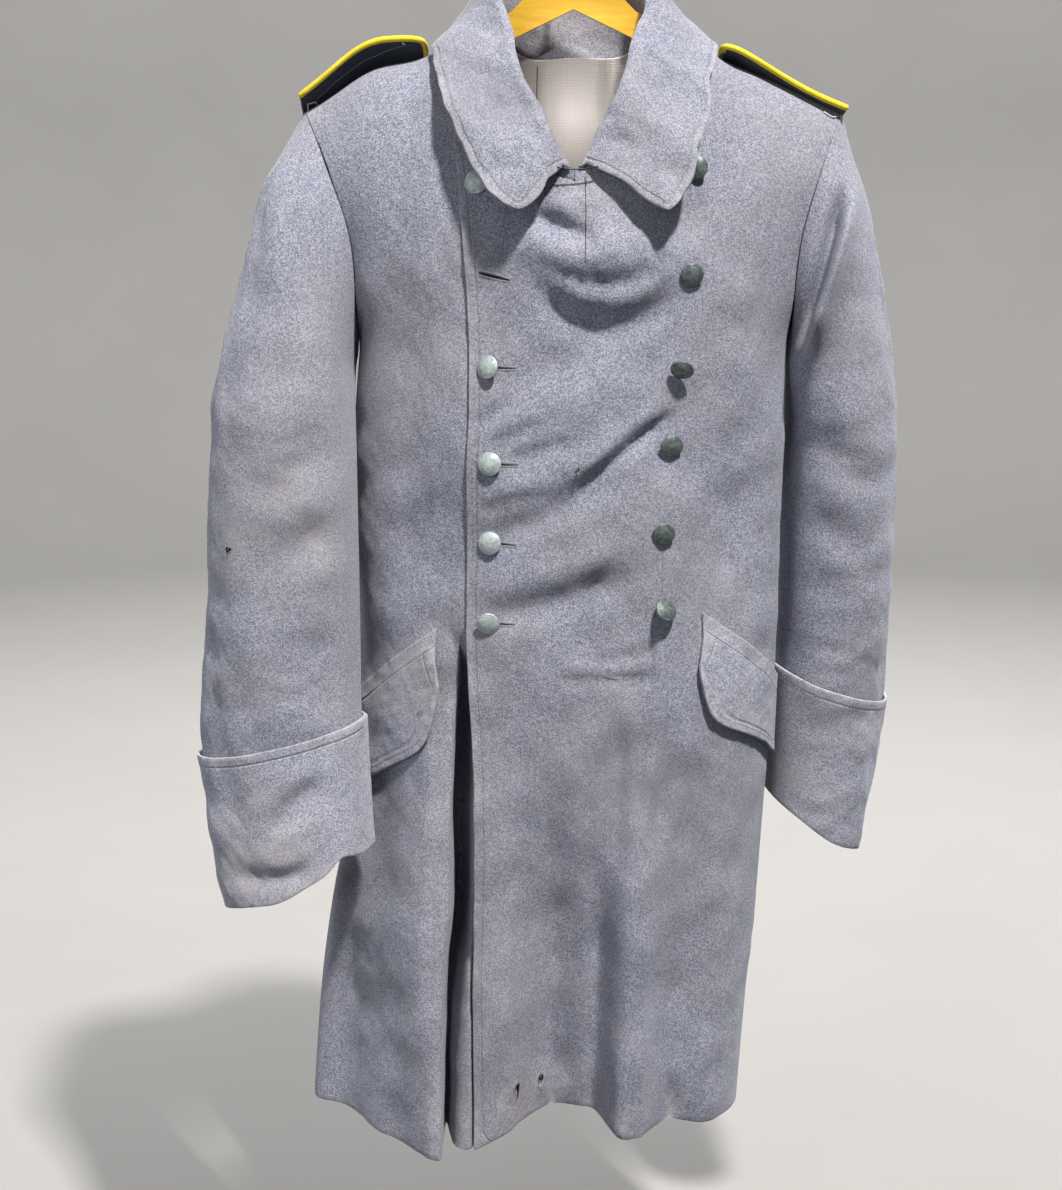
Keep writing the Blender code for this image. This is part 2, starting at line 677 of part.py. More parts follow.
def sleeve_rings(sign, table, armhole, angles):
    """Points of the sleeve's sections, from the armhole to the mouth, smooth from one to the next."""
    rings = [armhole + np.array((sign * ARMHOLE_GAP, 0, 0))]
    for row in table:
        outer = np.array((sign * row.outer_x, row.mid_y, row.outer_z))
        inner = np.array((sign * row.inner_x, row.mid_y, row.inner_z))
        middle, reach = (outer + inner) / 2, (outer - inner) / 2
        forward = np.array((0, -row.half_depth, 0))
        rings.append(np.array([middle + reach * math.cos(a) + forward * math.sin(a) for a in angles]))
    filled = []
    for i in range(len(rings) - 1):
        before, start = rings[max(i - 1, 0)], rings[i]
        end, after = rings[i + 1], rings[min(i + 2, len(rings) - 1)]
        for step in range(SLEEVE_STEPS):
            t = step / SLEEVE_STEPS
            rise, fall = (end - before) / 2, (after - start) / 2
            filled.append(start * (1 - t * t * (3 - 2 * t)) + end * t * t * (3 - 2 * t)
                          + rise * t * (1 - t) ** 2 - fall * t * t * (1 - t))
    return np.array(filled + [rings[-1]])


def build_sleeve(side, sign, table, body, collection):
    """A two-piece sleeve and its turned-back cuff. The body gives the armhole's points and directions."""
    (front, front_out), (back, back_out) = body
    edge = 0 if sign < 0 else -1
    armhole = armhole_of(front[HEM_ROWS:, edge], back[HEM_ROWS:, edge])
    body_out = armhole_of(front_out[HEM_ROWS:, edge], back_out[HEM_ROWS:, edge])
    angles = armhole_shares(armhole)
    rings = sleeve_rings(sign, table, armhole, angles)
    out = normals_of(rings, closed=True) * sign
    for station, angle in enumerate(angles):
        own = ease(min(angle, 2 * math.pi - angle) / CAP_TURN)
        mixed = blend(body_out[station], out[0, station], own)
        out[0, station] = mixed / np.linalg.norm(mixed)
    short = rings.copy()
    short[-1] = blend(rings[-1], rings[-2], MOUTH_TUCK * SLEEVE_STEPS)
    inside = short - out * WALL
    stations = rings.shape[1]
    half = stations // 2
    seams = (half - FRONT_SEAM, half + BACK_SEAM)
    for piece in ("upper", "under"):
        start, end = seams if piece == "under" else (seams[1], seams[0] + stations)
        picked = [column % stations for column in range(start, end + 1)]
        outer, inner = short[:, picked].copy(), inside[:, picked].copy()
        for layer in (outer, inner):
            for rim, beside in ((0, 1), (-1, -2)):
                step = layer[:, beside] - layer[:, rim]
                layer[:, rim] += step / np.linalg.norm(step, axis=1)[:, None] * GAP
        wall(f"sleeve_{side}_{piece}", outer, inner, all_cells(outer), "wool", collection)
    build_cuff(side, rings, out, collection)


def build_cuff(side, rings, out, collection):
    """Turned-back cuff: the sleeve's own points moved out, a little more at its top edge."""
    top = (CUFF_TOP_RING + 1) * SLEEVE_STEPS
    rows = []
    for i in range(CUFF_ROWS + 1):
        at = blend(top, rings.shape[0] - 1, i / CUFF_ROWS)
        low = min(int(at), rings.shape[0] - 2)
        share = at - low
        ring = blend(rings[low], rings[low + 1], share)
        away = blend(out[low], out[low + 1], share)
        rows.append((ring, away, CUFF_CLEAR + CUFF_FLARE * (1 - i / CUFF_ROWS) ** 2))
    inner = np.array([ring + away * lift for ring, away, lift in rows])
    outer = np.array([ring + away * (lift + CUFF_WALL) for ring, away, lift in rows])
    wall(f"cuff_{side}", outer, inner, all_cells(outer, closed=True), "wool", collection)


def neck_seam(sign, share):
    """Point of the neck seam, from the centre front (0) to the centre back (1)."""
    if share < NECK_SIDE_SHARE:
        x = sign * NECK_HALF * math.sin(math.pi / 2 * share / NECK_SIDE_SHARE)
        drop, point = FRONT_NECK_DROP, front_point
    else:
        x = sign * NECK_HALF * math.cos(math.pi / 2 * (share - NECK_SIDE_SHARE) / (1 - NECK_SIDE_SHARE))
        drop, point = BACK_NECK_DROP, back_point
    z = neckline_z(x, drop)
    lean = lean_at(x, z)
    return point(turn_of(x, z, lean), z, lean)


def stand_foot(sign, share):
    """Foot of the collar's stand: the neck seam moved into the neck's hole, square to the seam."""
    seam = neck_seam(sign, share)
    ahead = neck_seam(sign, min(share + 0.012, 1.0)) - neck_seam(sign, max(share - 0.012, 0.0))
    ahead.normalize()
    inward = NECK_MIDDLE - seam
    inward -= ahead * inward.dot(ahead)
    return seam + inward.normalized() * COLLAR_IN


def collar_section(sign, table, share):
    """Section of the collar: up the stand from the neck seam, over the roll and down the leaf."""
    foot = stand_foot(sign, share)
    roll = Vector([smooth(table, f"roll_{axis}", share) for axis in "xyz"])
    edge = Vector([smooth(table, f"edge_{axis}", share) for axis in "xyz"])
    roll.x, edge.x = sign * roll.x, sign * edge.x
    away = (edge - roll) * Vector((1, 1, 0))
    away.normalize()
    crest = roll + Vector((0, 0, ROLL_RADIUS * 0.4))
    over = roll + away * ROLL_RADIUS * 1.6 - Vector((0, 0, ROLL_RADIUS * 0.3))
    leaf = [over.lerp(edge, t) for t in (0.25, 0.5, 0.75, 1.0)]
    stand = [foot.lerp(roll - away * ROLL_RADIUS * 0.4, t) for t in (0.0, 0.35, 0.7, 0.95)]
    return stand + [crest + away * ROLL_RADIUS * 0.5, over] + [lift_off(place) for place in leaf]


def lift_off(place):
    """A leaf point, moved forward where it would lie too near the cloth below it."""
    if place.y > 0 or place.z > shoulder_z(place.x):
        return place
    clear = front_at(place.x, place.z).y - (COLLAR_WALL + LEAF_CLEAR)
    return Vector((place.x, min(place.y, clear), place.z))


def build_collar(collection):
    """One collar from the right front end, round the back, to the left front end."""
    right = [collar_section(-1, RIGHT_COLLAR, share) for share in COLLAR_SHARES]
    left = [collar_section(1, LEFT_COLLAR, share) for share in COLLAR_SHARES[-2::-1]]
    middle = np.array(right + left)
    out = normals_of(middle)
    grid = np.swapaxes(middle, 0, 1)
    half = np.swapaxes(out, 0, 1) * COLLAR_WALL / 2
    wall("collar", grid + half, grid - half, all_cells(grid), "wool", collection)


def pocket_point(pocket, share, drop, lift):
    """Point over a pocket, by its share of the way to the side, drop below the top line and lift."""
    front_turn = turn_of(pocket.front_x, pocket.front_z, math.pi / 2)
    turn = blend(front_turn, pocket.side_turn, share)
    z = blend(pocket.front_z, pocket.side_z, math.sin(share * math.pi / 2) * 0.35 + share * 0.65) - drop
    return front_by_turn(turn, z) + front_normal(turn, z) * lift


def build_pocket(side, pocket, collection):
    """A slanted welt with a flap below it, round at its front corner."""
    shares = [(i / 10) ** 1.25 for i in range(11)]
    length = (pocket_point(pocket, 1, 0, 0) - pocket_point(pocket, 0, 0, 0)).length

    def flap_drop(share):
        near = min(share * length * 1.12 / FLAP_ROUND, 1.0)
        return FLAP_FRONT + (FLAP_DEPTH - FLAP_FRONT) * math.sqrt(1 - (1 - near) ** 2)

    def layers(bottom, top, proud, lines):
        outer, inner = [], []
        for line in range(lines + 1):
            t = line / lines
            lift = FLAP_CLEAR + proud * t
            outer.append([pocket_point(pocket, s, blend(top, bottom(s), t), lift + WALL) for s in shares])
            inner.append([pocket_point(pocket, s, blend(top, bottom(s), t), lift) for s in shares])
        return np.array(outer), np.array(inner)

    outer, inner = layers(lambda share: -2 * GAP, -WELT_HEIGHT, 0.0, 2)
    wall(f"pocket_welt_{side}", outer, inner, all_cells(outer), "wool", collection)
    outer, inner = layers(flap_drop, 0.0, FLAP_PROUD, 5)
    wall(f"pocket_flap_{side}", outer, inner, all_cells(outer), "wool", collection)


def button_profile():
    """Profile of a low domed button, from the middle of its dome to the middle of its back."""
    r, h = BUTTON_RADIUS, BUTTON_HEIGHT
    return [(0, h), (0.45 * r, 0.92 * h), (0.80 * r, 0.66 * h), (r, 0.28 * h), (0.88 * r, 0), (0, 0)]


def seat_button(place, out, cloth):
    """Moves a button's placing in or out until its nearest point is a gap away from the cloth."""
    nearest = math.inf
    for step in range(4 * BUTTON_SIDES):
        turn = Matrix.Rotation(step * math.pi / 2 / BUTTON_SIDES, 4, "Z")
        for r, z in button_profile()[-3:]:
            point = place @ turn @ Vector((r, 0, z))
            hit = cloth.ray_cast(point + out * BUTTON_RADIUS, -out)
            if hit[0]:
                nearest = min(nearest, hit[3] - BUTTON_RADIUS)
    return Matrix.Translation(-out * (nearest - BUTTON_GAP)) @ place


def build_buttons(collection):
    """Domed buttons that share one profile, each turned and seated on the left front."""
    profile = button_profile()
    data = bpy.data.meshes.new("button")
    data.from_pydata([(x, 0, z) for x, z in profile], [(i, i + 1) for i in range(len(profile) - 1)], [])
    data.materials.append(material("button"))
    shape = bpy.data.objects["left_front"].data
    cloth = BVHTree.FromPolygons([v.co for v in shape.vertices], [p.vertices for p in shape.polygons])
    for row in BUTTONS:
        made = bpy.data.objects.new(row.name, data)
        collection.objects.link(made)
        screw = made.modifiers.new("turned", "SCREW")
        screw.steps = screw.render_steps = BUTTON_SIDES
        screw.use_merge_vertices = True
        screw.merge_threshold = 0.00002
        screw.use_smooth_shade = True
        lean = lean_at(row.x, row.z)
        turn = turn_of(row.x, row.z, lean)
        out = front_normal(turn, row.z)
        droop = Matrix.Rotation(math.radians(row.droop), 4, "Y")
        about = Matrix.Rotation(math.radians(row.turn), 4, "Z")
        seat = front_point(turn, row.z, lean) + out * BUTTON_RADIUS
        face = out.to_track_quat("Z", "Y").to_matrix().to_4x4() @ about @ droop @ about.inverted()
        made.matrix_world = seat_button(Matrix.Translation(seat) @ face, out, cloth)


def strap_point(sign, along, across, lift):
    """Point of a shoulder strap: metres from the neck end, metres to the front, height over the shoulder."""
    length = STRAP_OUTER_X - STRAP_INNER_X
    share = along / length
    x = STRAP_INNER_X + along
    rise = STRAP_CLEAR + STRAP_LIFT * (1 - share) + STRAP_BOW * math.sin(math.pi * min(max(share, 0), 1))
    slope = math.atan2(shoulder_z(STRAP_INNER_X) - shoulder_z(STRAP_OUTER_X), length)
    z = shoulder_z(STRAP_INNER_X) - along * math.tan(slope) + rise + across * math.sin(STRAP_TILT)
    up = Vector((sign * math.sin(slope), math.sin(STRAP_TILT), math.cos(slope)))
    return Vector((sign * x, -across * math.cos(STRAP_TILT), z)) + up.normalized() * lift


def strap_half_width(along):
    """Half width of a strap, round at the neck end."""
    near = min(along / STRAP_ROUND, 1.0)
    return STRAP_WIDTH / 2 * (0.45 + 0.55 * math.sqrt(1 - (1 - near) ** 2))


def build_strap(side, sign, collection):
    """A stiff shoulder strap with piping round its edge."""
    length = STRAP_OUTER_X - STRAP_INNER_X
    alongs = [length * (i / (STRAP_STATIONS - 1)) ** 1.7 for i in range(STRAP_STATIONS)]
    acrosses = [blend(-1, 1, i / STRAP_LINES) for i in range(STRAP_LINES + 1)]

    def layer(lift):
        return np.array([[strap_point(sign, a, c * strap_half_width(a), lift) for a in alongs]
                         for c in acrosses])

    top = layer(STRAP_THICK)
    wall(f"strap_{side}", top, layer(0.0), all_cells(top), "strap", collection)
    reach = PIPING_RADIUS + 2 * GAP
    back = [(a, -strap_half_width(a)) for a in reversed(alongs)]
    outline = back + [(a, -c) for a, c in back[::-1]]
    route = []
    for i, (a, c) in enumerate(outline):
        before, after = outline[max(i - 1, 0)], outline[min(i + 1, len(outline) - 1)]
        run = Vector((after[0] - before[0], after[1] - before[1])).normalized()
        route.append(strap_point(sign, a - run.y * reach * 1.2, c + run.x * reach * 1.2, STRAP_THICK / 2))
    tube(f"strap_piping_{side}", route, PIPING_RADIUS, PIPING_SIDES, "piping", collection)


def tube(name, route, radius, sides, look, collection):
    """A round bar along a route of points, with closed ends."""
    data = bpy.data.curves.new(name, "CURVE")
    data.dimensions = "3D"
    data.bevel_depth = radius
    data.bevel_resolution = sides
    data.use_fill_caps = True
    line = data.splines.new("POLY")
    line.points.add(len(route) - 1)
    for point, place in zip(line.points, route):
        point.co = (*place, 1.0)
    line.use_smooth = True
    return add(name, data, look, collection)


def build_catch(collection):
    """Wire hook that joins the collar's two ends, lying on the fold of each."""
    ends = []
    for sign, table in ((-1, RIGHT_COLLAR), (1, LEFT_COLLAR)):
        section = collar_section(sign, table, COLLAR_SHARES[0])
        ends.append(section[5] + Vector((sign * CATCH_REACH, 0, 0)))
    lift = Vector((0, -(COLLAR_WALL / 2 + CATCH_WIRE + CATCH_GAP), 0))
    route = []
    for i in range(CATCH_POINTS):
        share = i / (CATCH_POINTS - 1)
        sag = Vector((0, 0, -CATCH_DROP * math.sin(math.pi * share)))
        route.append(ends[0].lerp(ends[1], share) + lift + sag)
    tube("collar_hook", route, CATCH_WIRE, 1, "wire", collection)


def build_hanger(collection):
    """Flat hanger with two sloping arms, and the wire hook that carries it."""
    top, under = [], []
    for i in range(HANGER_POINTS + 1):
        x = HANGER_HALF * i / HANGER_POINTS
        near = ease(x / NECK_HALF)
        arm_top = shoulder_z(max(x, NECK_HALF)) - HANGER_BELOW_SHOULDER
        top.append((x, blend(HANGER_TOP_Z, arm_top, near)))
        under.append((x, HANGER_UNDER_Z - HANGER_SLOPE * min(x, 0.17) - 0.30 * max(x - 0.17, 0)))
    half = top + under[::-1]
    outline = half + [(-x, z) for x, z in half[::-1] if x > 0]
    data = bpy.data.curves.new("hanger", "CURVE")
    data.dimensions = "2D"
    data.fill_mode = "BOTH"
    data.extrude = HANGER_THICK / 2
    line = data.splines.new("POLY")
    line.points.add(len(outline) - 1)
    for point, (x, z) in zip(line.points, outline):
        point.co = (x, z, 0, 1)
    line.use_cyclic_u = True
    board = add("hanger", data, "hanger", collection)
    board.rotation_euler = (math.pi / 2, 0, 0)

    bend = HOOK_RADIUS + HOOK_WIRE
    middle_z = HOOK_WIRE - bend
    route = [(0, 0, HANGER_TOP_Z + GAP), (0, 0, HOOK_STEM_Z), (0.004, 0, HOOK_STEM_Z + 0.010)]
    for degrees in range(-60, 201, 20):
        angle = math.radians(degrees)
        route.append((bend * math.cos(angle), 0, middle_z + bend * math.sin(angle)))
    tube("hanger_hook", route, HOOK_WIRE, 2, "wire", collection)


def build_coat():
    for old in list(bpy.data.objects):
        bpy.data.objects.remove(old, do_unlink=True)
    coat = bpy.data.collections.new("greatcoat")
    cutters = bpy.data.collections.new("cutters")
    for made in (coat, cutters):
        bpy.context.scene.collection.children.link(made)
    fronts = build_fronts(coat)
    backs = build_back(coat)
    build_sleeve("right", -1, RIGHT_SLEEVE, (fronts, backs), coat)
    build_sleeve("left", 1, LEFT_SLEEVE, (fronts, backs), coat)
    build_collar(coat)
    build_catch(coat)
    build_pocket("right", RIGHT_POCKET, coat)
    build_pocket("left", LEFT_POCKET, coat)
    build_buttons(coat)
    build_strap("right", -1, coat)
    build_strap("left", 1, coat)
    build_hanger(coat)


build_coat()
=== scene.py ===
"""Looks of a double-breasted wool greatcoat on its hanger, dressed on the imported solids.

Units are metres in the part's frame: +Z is up, -Y is the coat's front and +X is the wearer's left.
Each cloth piece starts from its node's solid. The solid is made smooth, and one field of creases then
moves all the pieces at a place alike, so that layers which lie on each other stay together.
"""

import math
from collections import namedtuple
from functools import partial

import bmesh
import bpy
import numpy as np
from mathutils import Matrix, Vector, noise
from mathutils.bvhtree import BVHTree
from mathutils.kdtree import KDTree


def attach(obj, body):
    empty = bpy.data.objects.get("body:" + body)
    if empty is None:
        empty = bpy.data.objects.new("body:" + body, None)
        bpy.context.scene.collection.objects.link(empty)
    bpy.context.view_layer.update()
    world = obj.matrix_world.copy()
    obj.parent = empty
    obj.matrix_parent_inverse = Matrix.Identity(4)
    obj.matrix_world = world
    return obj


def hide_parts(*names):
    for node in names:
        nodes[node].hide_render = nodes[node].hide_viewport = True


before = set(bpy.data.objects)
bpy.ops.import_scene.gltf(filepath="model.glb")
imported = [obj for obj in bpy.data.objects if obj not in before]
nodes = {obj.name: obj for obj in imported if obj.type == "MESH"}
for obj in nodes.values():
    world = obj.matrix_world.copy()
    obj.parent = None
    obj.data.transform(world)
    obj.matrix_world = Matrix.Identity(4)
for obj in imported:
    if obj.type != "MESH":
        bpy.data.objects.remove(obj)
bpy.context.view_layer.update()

# Camera, from the photograph's perspective
PHOTO_HEIGHT = 1190
FOCAL_PIXELS = 2030
SENSOR = 36.0
CAMERA_PLACE = (-0.041, -2.03, -0.31)
CAMERA_PITCH = math.radians(78)

# Turning a solid into a smooth cloth shell
WELD = 2e-5
RIM_ANGLE = math.radians(50)
RIM_CREASE = 0.55
QUAD_ANGLE = math.radians(40)
QUAD_SKEW = math.radians(80)
ACROSS_WALL = 0.0046    # longer than any edge across a wall
FIT_ROUNDS = 3
ROUNDED = ("collar",)   # pieces with round corners
CORNER_TURN = math.radians(42)
CORNER_CREASE = 0.15

# Body and sleeves, as the ellipses that give the way out of them
BODY_HALF_WIDTH = 0.215
BODY_HALF_DEPTH = 0.115
Axis = namedtuple("Axis", "top_x top_y low_x low_y")
SLEEVE_AXES = {"right": Axis(-0.276, -0.046, -0.28, -0.086), "left": Axis(0.265, 0.026, 0.258, 0.04)}
AXIS_TOP_Z = -0.5
AXIS_LOW_Z = -0.95

# Cloth pieces: steps of smoothing, flat width and length, share of these that the cut fills, how it is
# held, what it rests on, its material slot, and the field that moves it
Piece = namedtuple("Piece", "node levels width length share held on slot field")
CLOTH = (
    Piece("left_front", 3, 0.44, 1.13, 0.83, "hung", "hanger", "wool", "body"),
    Piece("right_front", 3, 0.46, 1.13, 0.83, "hung", "hanger", "wool", "gap"),
    Piece("back_left", 2, 0.29, 1.13, 0.9, "hung", "hanger", "wool", "body"),
    Piece("back_right", 2, 0.32, 1.13, 0.9, "hung", "hanger", "wool", "body"),
    Piece("back_lining", 3, 0.42, 0.32, 0.8, "hung", "hanger", "lining", "lining"),
    Piece("sleeve_right_upper", 3, 0.33, 0.78, 0.8, "hung", "hanger", "wool", "right"),
    Piece("sleeve_right_under", 3, 0.18, 0.62, 0.9, "hung", "hanger", "wool", "right"),
    Piece("sleeve_left_upper", 3, 0.33, 0.76, 0.8, "hung", "hanger", "wool", "left"),
    Piece("sleeve_left_under", 3, 0.17, 0.6, 0.9, "hung", "hanger", "wool", "left"),
    Piece("cuff_right", 3, 0.4, 0.165, 0.95, "folded", "sleeve_right_upper", "wool", "right"),
    Piece("cuff_left", 3, 0.38, 0.17, 0.95, "folded", "sleeve_left_upper", "wool", "left"),
    Piece("collar", 3, 0.58, 0.18, 0.88, "folded", "back_left", "wool", "collar"),
    Piece("pocket_welt_right", 3, 0.16, 0.02, 0.95, "laid", "right_front", "wool", "body"),
    Piece("pocket_welt_left", 3, 0.16, 0.02, 0.95, "laid", "left_front", "wool", "body"),
    Piece("pocket_flap_right", 3, 0.16, 0.088, 0.9, "hung", "right_front", "wool", "flap_right"),
    Piece("pocket_flap_left", 3, 0.16, 0.074, 0.9, "hung", "left_front", "wool", "flap_left"),
    Piece("strap_right", 3, 0.12, 0.046, 0.97, "laid", "back_right", "strap_cloth", "strap_right"),
    Piece("strap_left", 3, 0.12, 0.046, 0.97, "laid", "back_left", "strap_cloth", "strap_left"),
)

# Creases as seen from the front: two ends, how far the middle bends to the left of the way from
# the first to the second, half width, height (negative for a trough) and the share that rises on its left
Crease = namedtuple("Crease", "x0 z0 x1 z1 bow half_width height lip")
BODY_CREASES = (
    Crease(-0.048, -0.388, 0.086, -0.4, -0.026, 0.0095, -0.0042, 0.0),
    Crease(-0.036, -0.402, 0.098, -0.41, -0.029, 0.01, 0.0032, 0.0),
    Crease(-0.058, -0.386, 0.114, -0.42, -0.058, 0.017, -0.0058, 0.1),
    Crease(-0.03, -0.346, 0.034, -0.338, 0.0, 0.01, 0.008, 0.0),
    Crease(-0.05, -0.35, 0.026, -0.38, -0.004, 0.011, -0.011, 0.0),
    Crease(-0.006, -0.622, 0.106, -0.537, 0.003, 0.0075, -0.0075, 0.45),
    Crease(-0.1, -0.672, 0.06, -0.59, -0.004, 0.015, -0.006, 0.6),
    Crease(-0.094, -0.558, -0.058, -0.53, 0.002, 0.006, -0.0024, 0.5),
    Crease(-0.084, -0.58, -0.024, -0.55, 0.003, 0.007, -0.003, 0.5),
    Crease(-0.074, -0.59, 0.01, -0.568, 0.003, 0.0065, -0.003, 0.5),
    Crease(-0.098, -0.64, -0.014, -0.616, 0.003, 0.0075, -0.0034, 0.5),
    Crease(-0.104, -0.745, 0.064, -0.69, -0.005, 0.015, -0.006, 0.55),
    Crease(-0.08, -0.51, 0.04, -0.5, 0.01, 0.02, -0.0024, 0.4),
    Crease(-0.026, -0.8, 0.092, -0.8, 0.0, 0.0046, -0.004, 0.6),
    Crease(0.077, -0.752, 0.074, -0.816, 0.0, 0.0046, -0.004, 0.6),
    Crease(0.01, -0.79, 0.098, -0.766, 0.0, 0.006, -0.002, 0.4),
    Crease(0.068, -0.78, 0.06, -0.95, 0.003, 0.009, -0.0055, 0.4),
    Crease(0.092, -0.805, 0.08, -0.995, 0.004, 0.01, -0.0055, 0.4),
    Crease(0.05, -0.83, 0.04, -1.01, 0.002, 0.01, -0.0045, 0.4),
    Crease(0.031, -0.94, 0.02, -1.42, 0.003, 0.013, -0.0185, 0.5),
    Crease(0.03, -0.76, 0.03, -1.33, 0.004, 0.028, -0.0095, 0.55),
    Crease(0.07, -0.9, 0.074, -1.38, -0.006, 0.026, 0.006, 0.0),
    Crease(-0.055, -0.86, -0.066, -1.25, 0.006, 0.022, 0.004, 0.0),
    Crease(0.118, -0.86, 0.132, -1.27, 0.0, 0.02, -0.004, 0.45),
    Crease(-0.15, -0.42, -0.168, -0.76, 0.008, 0.024, -0.0045, 0.4),
    Crease(0.15, -0.43, 0.16, -0.74, -0.008, 0.026, -0.0045, 0.4),
    Crease(-0.188, -0.9, -0.2, -1.27, 0.0, 0.022, -0.004, 0.4),
)
BACK_CREASES = (
    Crease(-0.118, -0.76, -0.128, -1.34, 0.004, 0.03, -0.0055, 0.5),
    Crease(0.012, -0.84, 0.004, -1.34, 0.003, 0.034, 0.005, 0.0),
    Crease(0.112, -0.74, 0.126, -1.34, -0.004, 0.03, -0.006, 0.5),
    Crease(-0.13, -0.395, 0.12, -0.4, -0.03, 0.022, -0.0035, 0.4),
    Crease(-0.18, -0.44, -0.09, -0.64, 0.01, 0.026, -0.004, 0.4),
    Crease(0.182, -0.45, 0.1, -0.62, -0.01, 0.026, -0.004, 0.4),
)
SLEEVE_CREASES = {
    "right": (
        Crease(-0.262, -0.33, -0.3, -0.56, 0.01, 0.022, -0.0045, 0.4),
        Crease(-0.228, -0.56, -0.322, -0.628, 0.01, 0.02, -0.005, 0.45),
        Crease(-0.226, -0.64, -0.32, -0.7, 0.008, 0.02, -0.0045, 0.45),
        Crease(-0.318, -0.6, -0.338, -0.83, 0.004, 0.024, 0.004, 0.0),
        Crease(-0.245, -0.74, -0.25, -0.85, 0.0, 0.022, -0.004, 0.3),
        Crease(-0.306, -0.962, -0.232, -0.89, 0.004, 0.012, -0.005, 0.4),
        Crease(-0.344, -1.002, -0.244, -0.984, 0.002, 0.01, -0.005, 0.3),
    ),
    "left": (
        Crease(0.263, -0.318, 0.214, -0.5, -0.002, 0.0068, -0.0235, 0.8),
        Crease(0.232, -0.56, 0.318, -0.63, -0.01, 0.02, -0.005, 0.45),
        Crease(0.236, -0.65, 0.312, -0.69, -0.008, 0.018, -0.004, 0.45),
        Crease(0.3, -0.42, 0.318, -0.76, 0.004, 0.022, 0.0045, 0.0),
        Crease(0.262, -0.7, 0.256, -0.82, 0.0, 0.022, -0.004, 0.3),
    ),
}
CREASE_FADE = 0.3      # share of a crease's length over which it fades at each end
LIP_AWAY = 1.7          # a crease's lip, in half widths from its middle
LIP_WIDTH = 1.2
LINING_CREASES = (
    Crease(-0.026, -0.11, -0.027, -0.5, 0.0, 0.0085, 0.0085, 0.0),
    Crease(0.036, -0.11, 0.038, -0.5, 0.0, 0.006, 0.006, 0.0),
)
LINING_RISE = 0.003     # how far its top edge reaches up over the collar's seam
LINING_FORWARD = 0.0022     # and forward, clear of the back
LINING_LEAN = 0.55      # the back leans forward by this share of a rise

# The right shoulder stands higher than its solid, and the straps bow: where, half width and rise
Bow = namedtuple("Bow", "x half_width rise")
SHOULDER_BOW = Bow(-0.195, 0.038, 0.011)
LINING_BOW = Bow(0.004, 0.034, 0.006)
STRAP_BOWS = {"right": Bow(-0.215, 0.055, 0.0065), "left": Bow(0.222, 0.06, -0.013)}

# The gap beside the lap below the last button: height, where the fold's wall is on the solid, where it
# shows, the middle of the gap, how much deeper it gets, and how far the strip beside the lap comes forward
Gap = namedtuple("Gap", "z solid_wall wall middle deeper strip")
GAP = (
    Gap(-1.3, -0.126, -0.13, -0.1225, 0.05, 0.02),
    Gap(-1.21, -0.126, -0.13, -0.1225, 0.05, 0.02),
    Gap(-1.15, -0.127, -0.129, -0.121, 0.05, 0.02),
    Gap(-1.1, -0.127, -0.1265, -0.118, 0.048, 0.016),
    Gap(-1.04, -0.1275, -0.1195, -0.112, 0.044, 0.008),
    Gap(-0.93, -0.121, -0.1175, -0.107, 0.03, 0.0),
    Gap(-0.85, -0.1225, -0.115, -0.106, 0.03, 0.0),
    Gap(-0.8, -0.118, -0.111, -0.105, 0.026, 0.0),
    Gap(-0.745, -0.116, -0.111, -0.105, 0.0, 0.0),
)
GAP_REACH = 0.014
GAP_STEEP = 0.9
GAP_HALF = 0.0085
STRIP_X = -0.1065
STRIP_HALF = 0.008

# Waves of the cuffs' mouths: place across, half width and how far the edge hangs down
Wave = namedtuple("Wave", "x half_width drop")
MOUTH_WAVES = {
    "right": (Wave(-0.288, 0.03, 0.008), Wave(-0.226, 0.014, -0.011)),
    "left": (Wave(0.268, 0.028, 0.004),),
}

# Unevenness all over: wave length across and down, height and seed
Ripple = namedtuple("Ripple", "across down height seed")
BODY_RIPPLES = (
    Ripple(0.11, 0.26, 0.0026, 3),
    Ripple(0.045, 0.08, 0.0007, 5),
    Ripple(0.016, 0.02, 0.0002, 8),
)
SLEEVE_RIPPLES = (
    Ripple(0.09, 0.26, 0.0018, 13),
    Ripple(0.04, 0.07, 0.0007, 15),
    Ripple(0.016, 0.02, 0.0002, 18),
)
COLLAR_RIPPLES = (Ripple(0.09, 0.09, 0.0016, 23), Ripple(0.03, 0.03, 0.0004, 25))
RIPPLE_WAVES = 14
RIPPLE_SIZES = (0.7, 1.6)
SLEEVE_ROUND = 0.07     # size of the sleeve's turn in the ripples
SLEEVE_UNEVEN = 0.03
COLLAR_LEAN = 0.7
COLLAR_SHIFTS = (0.0, 0.37, 0.81)

# Where moves fade in or out: the height or the distance where the fade starts, and its length
Fade = namedtuple("Fade", "start length")
SIDE_SEAM = Fade(0.12, 0.35)
ARMHOLE_LOW = Fade(-0.58, 0.06)
ARMHOLE_SIDE = Fade(0.165, 0.035)
NECK_LOW = Fade(-0.37, 0.05)
NECK_SIDE = Fade(0.15, 0.03)
SHOULDER_LOW = Fade(-0.34, 0.08)
STRAP_FRONT = Fade(0.012, 0.032)
GAP_TOP = Fade(-0.745, 0.055)
SLEEVE_SIDE = Fade(0.222, 0.03)
SLEEVE_CREASE_SIDE = Fade(0.205, 0.02)
SLEEVE_HEAD = Fade(-0.285, 0.06)
SLEEVE_FRONT = Fade(0.0, 0.5)
CUFF_LOW = Fade(-0.935, 0.06)
CUFF_FRONT = Fade(0.0, 0.4)
LINING_TOP = Fade(-0.26, 0.04)

